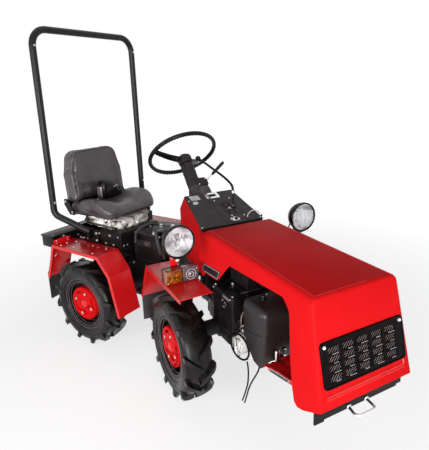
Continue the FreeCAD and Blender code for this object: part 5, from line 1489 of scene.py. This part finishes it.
links.bolts([(-176, -604, 462), (-172, -372, 500), (-190, -480, 420), (-184, -520, 412)], (-0.6, -0.8, 0), 5)
for at in ((-168, -531.7, 470), (-160, -379, 338)):
    links.add(turned([(0, 5), (0, 9), (8, 9), (8, 5)], at, Z, 20, True), "chrome")
links.done((), 0.5)

TRAY_STRIP = [(-627, 458), (-645, 481), (-788, 511), (-832, 520), (-832, 500), (-758, 483)]
TRAY_PAN = [(-596, 463.5), (-832, 509), (-832, 506), (-596, 460.5)]
TRAY_PLATE = [(-638, 460), (-651, 478), (-784, 506), (-766, 485)]
TRAY_INNER = [(-643, 462.5), (-653, 475.5), (-778, 502), (-764, 487.5)]
tray = Piece("engine_tray_pan", "front_half")
for side in (-1, 1):
    for finish, outline, near, far, holes in (
            ("gloss_red", TRAY_STRIP, 203, 206, ()), ("red", TRAY_PAN, 131.4, 204, ()),
            ("dark_plate", TRAY_PLATE, 206, 207.4, ()),
            ("pale_badge", TRAY_PLATE, 207.4, 208.2, [TRAY_INNER])):
        tray.add(side_plate(outline, *outward(side, near, far), holes), finish)
    tray.bolt((side * 206, -812, 508), X * side, 4)
tray.boxes("red", (-131, 131, -832, -612, 478.8, 481.2, 0.8))
tray.done(("engine_tray",), 0.6)

PIVOT_Y = 269
chassis = Piece("front_chassis", "front_half")
chassis.twins("black", (*RAIL, -905, 205, 430, 478, 3), (106, 130, 100, 124, 477, 624, 3),
              (118, 309, 100, 124, 600, 624, 3), (285, 309, 100, 124, 600, 680.7, 3))
chassis.boxes("black", (-106, 106, -905, -875, 430, 478, 3), (-106, 106, -20, 10, 430, 478, 3),
              (-106, 106, 165, 205, 430, 478, 3), (-60, 60, 118.4, 224, 268.2, 507.8, 4))
for side in (-1, 1):
    rib = plate([(side * x, z) for x, z in ((106, 560), (106, 602), (150, 602))], 5)
    chassis.add(rib, "black", facing((0, 114, 0), X, Z))
    chassis.bolts([(side * RAIL[1], y, 454) for y in (-860, -600, -200, 60)], X * side)
for z in (268, 486):
    eye = plate([(-44, 118.4), (44, 118.4), *round_end(44, PIVOT_Y)], 22, [circle(0, PIVOT_Y, 21.4, 32)])
    chassis.add(eye, "black", Matrix.Translation((0, 0, z)))
chassis.done(("front_frame",), 1.0)

yoke = Piece("pivot_yoke_casting", "pivot_yoke")
for finish, sides, profile in (
        ("cast", 40, [(291.5, 0), (291.5, 39), (294.5, 42), (482, 42), (485, 39), (485, 0)]),
        ("zinc", 32, [(262, 0), (262, 19), (264, 21), (512, 21), (514, 19), (514, 0)])):
    yoke.add(turned(profile, (0, PIVOT_Y, 0), Z, sides), finish)
yoke.add(rod((0, PIVOT_Y, 380), (0, 575, 380), 35.8, sides=40), "cast")
yoke.add(turned([(300, 36), (300, 50), (306, 54), (330, 54), (336, 50), (336, 36)], (0, 0, 380), Y, 40),
         "cast")
yoke.bolt((0, PIVOT_Y, 512.5), Z, 9)
yoke.bolt((0, PIVOT_Y, 261), -Z, 9)
yoke.done(("pivot_yoke",), 0.8)
# ------------------------------------------------------------------ rear chassis, tank and seat base

SPINE = (-98, 98)
spine = Piece("rear_chassis", "rear_half")
spine.boxes("black", (*SPINE, 522, 1135, 432, 560, 8, 3), (*SPINE, 522, 911.6, 262, 470, 12, 3),
            (*SPINE, 1148.4, 1195, 322, 560, 6), (*SPINE, 1090, 1160, 440, 559, 6),
            *[(-226, 226, y, y + 30, 530, 560, 3) for y in (840, 1152)])
spine.twins("black", (94, 182, 616, 640, 341.8, 371.6, 3), (98, 104, 600, 820, 300, 420, 3),
            *[(222, 246, y, y + 30, 530, 649.6, 3) for y in (840, 1152)])
SOCKET = [(405, 36.8), (405, 56), (409, 60), (520, 60), (527, 66), (527, 36.8)]
spine.add(turned(SOCKET, (0, 0, 380), Y, 48, True), "cast")
spine.bolts([(50 * cos(turn), 405, 380 + 50 * sin(turn)) for turn in around(6)], -Y, 5)
for side in (-1, 1):
    spine.bolts([(side * 98, y, z) for y, z in ((560, 500), (700, 500), (860, 500), (560, 300), (880, 300))],
                X * side)
spine.add(rod((-98, 760, 350), (-118, 760, 350), 22, 20), "cast")
spine.add(rod((-118, 760, 350), (-126, 760, 350), 11, sides=6), "zinc")
spine.done(("rear_frame",), 1.0)

TANK_TOP = 738
HEX_NUT = [(0, 0), (0, 14), (10, 14), (12, 12), (22, 12), (22, 0)]
tank = Piece("hydraulic_tank", "rear_half")
tank.boxes("black", (-150, 150, 560, 790, 560.4, 730, 10, 3), (-152, 152, 558, 792, 722, TANK_TOP, 5, 3),
           (-151.5, -149, 580, 770, 590, 702, 2), (-128, 128, 556, 561, 580, 706, 3))
tank.boxes("plastic", *[(x - 11, x + 11, 555, 795, 560.5, 741, 3) for x in (-60, 60)])
tank.boxes("dark_plate", (-152, -150, 640, 760, 660, 700, 1))
tank.boxes("mesh", *[(-153, -151.6, y, y + 5, 668, 690, 0.6, 1) for y in (660, 672, 684)])
tank.add(turned([(0, 0), (0, 31), (4, 33), (18, 33), (22, 29), (24, 14), (24, 0)],
                (-84, 620, TANK_TOP), Z, 36), "gloss")
tank.add(turned([(0, 0), (0, 15), (12, 15), (15, 11), (15, 0)], (70, 640, TANK_TOP), Z, 6), "zinc")
tank.bolts([(x, y, TANK_TOP) for x, y in ((-138, 572), (138, 572), (-138, 778), (138, 778), (0, 572),
                                          (0, 778))], Z, 5)
for radius, (x, y), route in (
        (10, (-110, 640), [(-110, 640, 742), (-112, 640, 790), (-140, 600, 800), (-176, 560, 740),
                           (-170, 540, 640)]),
        (9, (-40, 600), [(-40, 600, 744), (-52, 590, 782), (-110, 560, 776), (-148, 548, 700),
                         (-140, 542, 600)]),
        (8, (20, 700), [(20, 700, 742), (10, 720, 776), (-90, 760, 780), (-168, 760, 746),
                        (-190, 730, 690)])):
    tank.add(tube(route, radius, 12, True), "flap")
    tank.add(turned(HEX_NUT, (x, y, TANK_TOP), Z, 6), "zinc")
tank.done(("oil_tank",), 0.8)

base = Piece("seat_base_box", "rear_half")
# The box steps down beside the film at its front left, clear of the fender.
base.boxes("black", (-246, 104, 800, 1222, 650, 746, 4, 3), (-240, 98, 806, 1216, 650, 752, 4, 3),
           (-246, 246, 985, 1222, 650, 746, 4, 3), (-240, 240, 991, 1216, 650, 752, 4, 3),
           (-246, 246, 800, 1222, 650, 690, 4, 3), (-250, -236, 794, 812, 650, 758, 3),
           (-226, 90, 797, 801, 664, 732, 2))
base.twins("black", (162, 184, 942, 1206, 750, 772, 3), (162, 184, 942, 1206, 782, 815.6, 3))
base.twins("plastic", (156, 190, 930, 1216, 768, 784, 4))
for side, front, top in ((-1, 830, 752), (1, 990, 688)):
    base.beside(side, "black", (246, 250, 804, 840, 650, top, 2), (246, 250, front, 1080, 738, 750, 2))
    for y, z in ((822, 728 if side < 0 else 668), (900, 728 if side < 0 else 668), (1000, 728), (1180, 668)):
        base.bolt((side * 248, y, z), X * side, 6)
    base.bolts([(side * x, 800, 670) for x in (200, 228)], -Y, 6)
base.add(tube([(-150, 836, 786), (-196, 812, 780), (-226, 800, 772), (-240, 780, 770)], 5, 10, True), "black")
base.add(rod((-236, 786, 770), (-246, 758, 769), 9, 8), "gloss")
for y0, y1 in ((890, 1180), (1180, 890)):
    base.add(rod((-194, y0, 758), (-194, y1, 808), 5.5), "black")
base.add(tube([(-214, 900, 764), (-222, 960, 776), (-220, 1050, 772), (-212, 1150, 764)], 5, 10, True),
         "flap")
base.done(("seat_base",), 0.8)

FILM_LOW, FILM_HIGH = 752.3, 815.7
noise.seed_set(3)
film = block(-1, 1, -1, 1, 753, 815.6)
bmesh.ops.subdivide_edges(film, edges=film.edges[:], cuts=30, use_grid_fill=True)
bmesh.ops.triangulate(film, faces=film.faces)
for point in film.verts:
    at = point.co
    turn = atan2(at.y, at.x)
    out = min(1.0, max(abs(at.x), abs(at.y)))
    at.x, at.y = out * cos(turn), out * sin(turn)
    at.x = 166 * max(-1.0, min(1.0, at.x * 1.18)) - 44
    at.y = 1032 + 180 * max(-1.0, min(1.0, at.y * 1.18))
    near, next_near = noise.voronoi(at * 0.017)[0][:2]
    fold = Vector((cos(turn), sin(turn), 0)) * (34 * (next_near - near) - 14)
    at += out * (fold + noise.noise_vector(at * 0.03) * 13 * Vector((1, 1, 0.4)))
    at.z = min(FILM_HIGH, max(FILM_LOW, at.z + 16 * (0.4 - near)))
wrap = Piece("crumpled_seat_film", "rear_half")
wrap.add(film, "film")
wrap.done(("seat_wrap",), 0, 22)

rests = Piece("footrest_plates", "rear_half")
rests.twins("black", (98.4, 222, 576, 742, 372, 378, 2), (98.4, 222, 576, 584, 372, 406, 2))
for side in (-1, 1):
    for i in range(6):
        for k in range(5):
            lie = (Matrix.Translation((side * (112 + 21 * i), 602 + 30 * k, 0))
                   @ Matrix.Rotation(radians(45 if (i + k) % 2 else -45), 4, "Z"))
            rests.add(block(-9, 9, -2, 2, 377.6, 380, 1, 1), "black", lie)
    rests.bolt((side * 130, 628, 378), Z, 6)
rests.done(("footrests",), 0)

clevis = Piece("tow_clevis", "rear_half")
clevis.add(block(-68, 68, 1195.4, 1209, 332, 500, 5, 3), "black")
for z in (330, 384):
    eye = plate([(-34, 1195.6), (34, 1195.6), *round_end(34, 1358)], 14, [circle(0, 1358, 11.4, 28)])
    clevis.add(eye, "black", Matrix.Translation((0, 0, z)))
clevis.bolts([(x, 1209, z) for x in (-52, 52) for z in (346, 486)], Y, 8)
clevis.add(side_plate([(1208, 398), (1290, 398), (1208, 470)], -4, 4), "black")
clevis.done(("hitch",), 1.0)

# ------------------------------------------------------------------ hoop, box and lamps

HOOP_HALF = 402.6
HOOP_Y = 1232
HOOP_FOOT = (276, 1062, 738)
HOOP_LINE = [(HOOP_HALF, HOOP_Y, 1996), (HOOP_HALF, HOOP_Y, 864), HOOP_FOOT]
HOOP_LINE = [(-x, y, z) for x, y, z in reversed(HOOP_LINE)] + HOOP_LINE
hoop = Piece("hoop_tube", "rear_half")
hoop.add(tube(bent_path(HOOP_LINE, (62, 100, 100, 62), 10), 21, 24), "tube")
hoop.twins("black", (250.4, 258, 1000, 1124, 662, 746, 3), (254, 292, 1056, 1068, 690, 744, 3))
hoop.twins("zinc", (HOOP_HALF - 5, HOOP_HALF + 5, 1208, 1214, 936, 952, 2))
for side in (-1, 1):
    hoop.add(ring((side * HOOP_FOOT[0], *HOOP_FOOT[1:]), (side * -126, 170, 126), 21, 3.5, 32, 8), "black")
    hoop.bolts([(side * 258, y, z) for y in (1018, 1106) for z in (680, 728)], X * side, 6.5)
    hoop.bolt((side * HOOP_HALF, 1211, 1900), -Y, 5)
hoop.done(("roll_over_hoop",), 0)

case = Piece("rear_box_case", "rear_half")
case.boxes("black", (-408, 408, 1286, 1402, 622, 696, 5, 3))
case.boxes("gloss", (-414, 414, 1280, 1408, 692, 702, 4, 3), (-404, 404, 1290, 1398, 700, 704, 2))
case.boxes("silver_plate", (-406, 406, 1396, 1406, 701, 706, 2))
case.twins("black", (316, 356, 1251.4, 1287, 668, 692, 2))
case.twins("zinc", (224, 256, 1401, 1409, 664, 698, 3))
case.bolts([(x, 1262, 692) for x in (-336, 336)], Z, 5)
case.studs([(x, 1286, 660) for x in (-390, -200, 0, 200, 390)], -Y, 5)
case.studs([(x, 1300, 704) for x in (-390, -200, 0, 200, 390)], Z, 4.5)
case.add(rod((-400, 1300, 622), (-400, 1300, 588), 6), "zinc")
case.add(ring((-400, 1302, 574), (0.6, 1, 0), 15, 2.2, 28, 8), "zinc")
case.add(tube([(-396, 1310, 622), (-380, 1330, 600), (-340, 1340, 590), (-300, 1330, 622)], 4, 10, True),
         "flap")
case.done(("rear_box",), 0.8)

tails = Piece("tail_lamp_pair", "rear_half")
tails.twins("plastic", (258, 388, 1402.3, 1409, 630, 684, 2.5))
tails.twins("ruby", (302, 386, 1408, 1428.2, 632, 682, 5, 3))
tails.twins("amber", (260, 301, 1408, 1428.2, 632, 682, 5, 3))
tails.studs([(x, 1428, 657) for x in (-344, -282, 282, 344)], Y, 3.6)
tails.done(("tail_lamps",), 0)
# ------------------------------------------------------------------ seat

VOXEL = 0.006
STUFFING_FRAMES = 20
STITCH_WIDTH, STITCH_DEPTH = 13, 4.5
PIPING = 2.3
CUSHION_HALF, CUSHION_FRONT, CUSHION_DEEP = 236, 902, 394
BACK_HALF, BACK_FOOT, BACK_TALL = 220, 900, 340


def stuffed(shape, form, pressure, cap):
    """Mesh in straight metres of a closed cover, evened, formed and swollen by its stuffing."""
    shape.transform(Matrix.Scale(MM, 4))
    cover = stood("cover", poured(shape))
    even = cover.modifiers.new("even", "REMESH")
    even.mode = "VOXEL"
    even.voxel_size = VOXEL
    mesh = taken(cover)
    cover.modifiers.clear()
    cover.data = mesh
    for point in mesh.vertices:
        point.co = form(point.co / MM) * MM
    before = [point.co.copy() for point in mesh.vertices]
    stuffing = cover.modifiers.new("stuffing", "CLOTH")
    stuffing.point_cache.frame_start = 1
    stuffing.point_cache.frame_end = STUFFING_FRAMES
    cloth = stuffing.settings
    cloth.use_pressure = True
    cloth.uniform_pressure_force = pressure
    cloth.effector_weights.gravity = 0
    cloth.quality = 6
    cloth.tension_stiffness = 12
    cloth.compression_stiffness = 12
    cloth.bending_stiffness = 0.4
    for step in range(1, STUFFING_FRAMES + 1):
        bpy.context.scene.frame_set(step)
    mesh = taken(cover)
    for point, rest in zip(mesh.vertices, before):
        move = point.co - rest
        if move.length > cap * MM:
            point.co = rest + move.normalized() * cap * MM
    bpy.context.scene.frame_set(1)
    bpy.data.objects.remove(cover)
    return mesh


def sewn(mesh, lines):
    """Draws the cover in along stitched lines and gives the lines as they lie on it."""
    surface = BVHTree.FromPolygons([v.co for v in mesh.vertices], [p.vertices for p in mesh.polygons])
    laid = [[surface.find_nearest(point * MM)[0] for point in line] for line in lines]
    tree = KDTree(sum(len(line) for line in laid))
    for i, place in enumerate(place for line in laid for place in line):
        tree.insert(place, i)
    tree.balance()
    normals = [v.normal.copy() for v in mesh.vertices]
    for point, normal in zip(mesh.vertices, normals):
        gap = tree.find(point.co)[2] / MM
        if gap < STITCH_WIDTH:
            point.co -= normal * STITCH_DEPTH * MM * (1 - gap / STITCH_WIDTH) ** 2
    return laid


def upholstered(name, node, mesh, lines):
    """Finishes a stuffed cover: sewn lines with their piping, one subdivision, vinyl."""
    laid = sewn(mesh, lines)
    whole = bmesh.new()
    whole.from_mesh(mesh)
    bmesh.ops.subdivide_edges(whole, edges=whole.edges, cuts=1, use_grid_fill=True, smooth=0.7)
    for line in laid:
        cord = tube([place / MM for place in line], PIPING, 8, True)
        cord.transform(Matrix.Scale(MM, 4))
        gather(whole, cord)
    whole.transform(REAR @ Matrix.Scale(1 / MM, 4))
    whole.to_mesh(mesh)
    whole.free()
    mesh.materials.append(LOOKS["vinyl"][0])
    settle(name, mesh, "rear_half", (node,), ease=0, angle=60)


def smooth_step(low, high, value):
    u = min(1.0, max(0.0, (value - low) / (high - low)))
    return u * u * (3 - 2 * u)


def line_through(points, steps=14):
    """Evenly spaced points on the straight runs between corners, leant with the backrest."""
    line = [Vector(a).lerp(Vector(b), k / steps) for a, b in zip(points, points[1:]) for k in range(steps)]
    return [LEAN @ point for point in [*line, Vector(points[-1])]]


def cushion_form(at):
    """Raised sides, a dished middle and a rolled front edge."""
    across = abs(at.x) / CUSHION_HALF
    back = (at.y - CUSHION_FRONT) / CUSHION_DEEP
    high = smooth_step(836, 876, at.z)
    at.z += (high * 42 * smooth_step(0.2, 0.92, across) * smooth_step(-0.1, 0.34, back)
             * (1 - 0.7 * smooth_step(0.5, 0.9, back)))
    at.z -= high * 12 * (1 - smooth_step(0.0, 0.6, across)) * smooth_step(0.05, 0.3, back) * (1 - back)
    at.z -= high * (22 * (1 - smooth_step(0.0, 0.3, back)) + 5 * smooth_step(0.72, 0.86, back))
    return at


cover = plate(eased([(-239, 902), (239, 902), (239, 1297), (-239, 1297)], [80, 80, 22, 22], 8), 68)
rounded(cover, cover.edges[:], 20, 4)
cover.transform(Matrix.Translation((0, 0, 820)))
mesh = stuffed(cover, cushion_form, pressure=4, cap=9)
welt = [Vector((*point, 838)) for point in eased([(-240, 898), (240, 898), (240, 1300), (-240, 1300)],
                                                 [90, 90, 30, 30], 10) if point.y < 1290]
welt.sort(key=lambda point: atan2(point.x, 1150 - point.y))
upholstered("seat_cushion_pad", "seat_cushion", mesh, [welt])

LEAN = (Matrix.Translation((0, 1240, 893)) @ Matrix.Rotation(radians(-5), 4, "X")
        @ Matrix.Translation((0, -1240, -893)))


def back_form(at):
    """Hollowed middle between fuller sides, and a fuller lumbar roll."""
    across = abs(at.x) / BACK_HALF
    up = (at.z - BACK_FOOT) / BACK_TALL
    if at.y < 1292:
        at.y -= 12 * smooth_step(0.55, 0.85, across) - 8 * (1 - across) * smooth_step(0.3, 0.8, up)
        at.y -= 6 * (1 - smooth_step(0.1, 0.4, abs(up - 0.25)))
    return LEAN @ at


BACK_LINE = [(-232, 900), (232, 900), (233, 1090), (192, 1255), (-192, 1255), (-233, 1090)]
cover = plate(eased(BACK_LINE, [26, 26, 90, 78, 78, 90], 8), 88)
rounded(cover, cover.edges[:], 18, 4)
cover.transform(facing((0, 1337, 0), X, Z))
mesh = stuffed(cover, back_form, pressure=4, cap=9)
seams = [line_through([(side * x, y, z) for x, y, z in (
    (202, 1236, 910), (203, 1236, 1090), (180, 1236, 1198), (140, 1238, 1243))]) for side in (-1, 1)]
seams.append(line_through([(-140, 1238, 1243), (-40, 1238, 1253), (40, 1238, 1253), (140, 1238, 1243)]))
upholstered("seat_backrest_pad", "seat_backrest", mesh, seams)

IRON_VIEW = eased([(1216, 820), (1276, 820), (1326, 884), (1326, 926), (1292, 926)], [8, 4, 8, 12, 8], 4)
irons = Piece("seat_bracket_pair", "rear_half")
for side in (-1, 1):
    irons.add(side_plate(IRON_VIEW, *outward(side, 249.5, 255.3)), "black")
    irons.add(rod((side * 235, 1306, 908), (side * 257, 1306, 908), 10.8), "black")
    irons.bolt((side * 255.3, 1246, 840), X * side, 6)
    irons.bolt((side * 257, 1306, 908), X * side, 6)
# Two black strips across close the gap under the backrest, where the backrest's foot and the belt's webbing
# lie in shade: in part painted shade.
irons.boxes("black", (-250, 250, 1302, 1306, 838, 884, 1.5), (-234, 234, 1302, 1306, 880, 914, 1.5))
irons.done(("seat_brackets",), 0.8)

WEB = [(36, 1184, 900), (0, 1176, 903), (-56, 1182, 902), (-100, 1190, 902), (-130, 1200, 903),
       (-156, 1210, 903)]
belt = Piece("belt_retractor", "rear_half")
cover = block(-60, 88, 1140, 1222, 894, 1024, 34, 6)
for point in cover.verts:
    point.co.z -= 30 * smooth_step(0, 88, point.co.x) * smooth_step(900, 1010, point.co.z)
belt.add(cover, "gloss")
belt.boxes("gloss", (62, 124, 1150, 1222, 893.6, 946, 18, 4), (-86, 40, 1166, 1196, 893.6, 900, 2.5, 2),
           (-122, -76, 1166, 1200, 898, 912, 4, 3))
belt.boxes("silver_plate", (-63, -56, 1158, 1204, 906, 984, 3, 2))
belt.boxes("chrome", *[(-64.5, -62, 1164, 1196, z - 6, z + 6, 1.5, 1) for z in (918, 970)])
belt.boxes("zinc", (-114, -92, 1162, 1168, 900, 909, 1.5))
belt.add(tube([(32, 1139, 970), (54, 1139, 984), (74, 1143, 980), (86, 1150, 962)], 2.2, 8, True), "zinc")
for shift in (-9, -3, 3, 9):
    belt.add(tube([(x, y + shift, z) for x, y, z in WEB], 2.6, 8, True), "flap")
belt.done(("seat_belt",), 0.6)
# ------------------------------------------------------------------ floor, light and background

def light(name, at, aim, size, power):
    lamp = bpy.data.lights.new(name, "AREA")
    lamp.shape = "RECTANGLE"
    lamp.size, lamp.size_y = size
    lamp.energy = power
    stood(name, lamp).matrix_world = Matrix.Translation(at) @ turned_to(Vector(at) - Vector(aim))


def met_by(shader, *rays):
    """One where a ray of any of these kinds meets the surface, and nothing elsewhere."""
    level, *others = [shader.node("ShaderNodeLightPath", {}, {}, "Is %s Ray" % ray) for ray in rays]
    for other in others:
        level = level.maths("MAXIMUM", level, other)
    return level


light("front_softbox", (-1.9, -4.4, 1.15), (0, -0.4, 0.6), (2.6, 2.2), 168)
light("side_softbox", (-4.6, -1.6, 1.5), (0, 0, 0.6), (2.4, 2.2), 88)
light("top_softbox", (0.5, 0.4, 4.6), (0, 0, 0.5), (3.0, 3.0), 16)

FLOOR_HALF = 30.0
floor_shape = bmesh.new()
bmesh.ops.create_grid(floor_shape, x_segments=2, y_segments=2, size=FLOOR_HALF)
floor_mesh = bpy.data.meshes.new("floor")
floor_shape.to_mesh(floor_mesh)
floor_shape.free()
stood("floor", floor_mesh)

f = Shader("studio_floor")
# Painted shade in part: the floor's glow, to the camera and in reflections, is weaker near the machine, so
# the floor and what paint and rubber reflect of it read darker round and under it; this also lets its real
# shadow show.
away = f.node("ShaderNodeVectorMath", {"operation": "LENGTH"}, {0: f.place()}, 1)
level = f.span(away, 1.3, 4.5, 0.66, 1.0)
matt = f.node("ShaderNodeBsdfDiffuse", {}, {"Color": (0.6, 0.6, 0.6, 1)})
glow = f.node("ShaderNodeEmission",
              {}, {"Color": (1, 1, 1, 1), "Strength": met_by(f, "Camera", "Glossy") * level})
both = f.node("ShaderNodeAddShader", {}, {0: matt, 1: glow})
f.node("ShaderNodeOutputMaterial", {}, {"Surface": both})
floor_mesh.materials.append(f.owner)

f = Shader("studio", bpy.data.worlds.new("studio"))
bpy.context.scene.world = f.owner
level = f.node("ShaderNodeMix", {}, {0: met_by(f, "Camera", "Glossy", "Transmission"), 2: 0.12, 3: 1.0})
backdrop = f.node("ShaderNodeBackground", {}, {"Color": (1, 1, 1, 1), "Strength": level})
f.node("ShaderNodeOutputWorld", {}, {"Surface": backdrop})
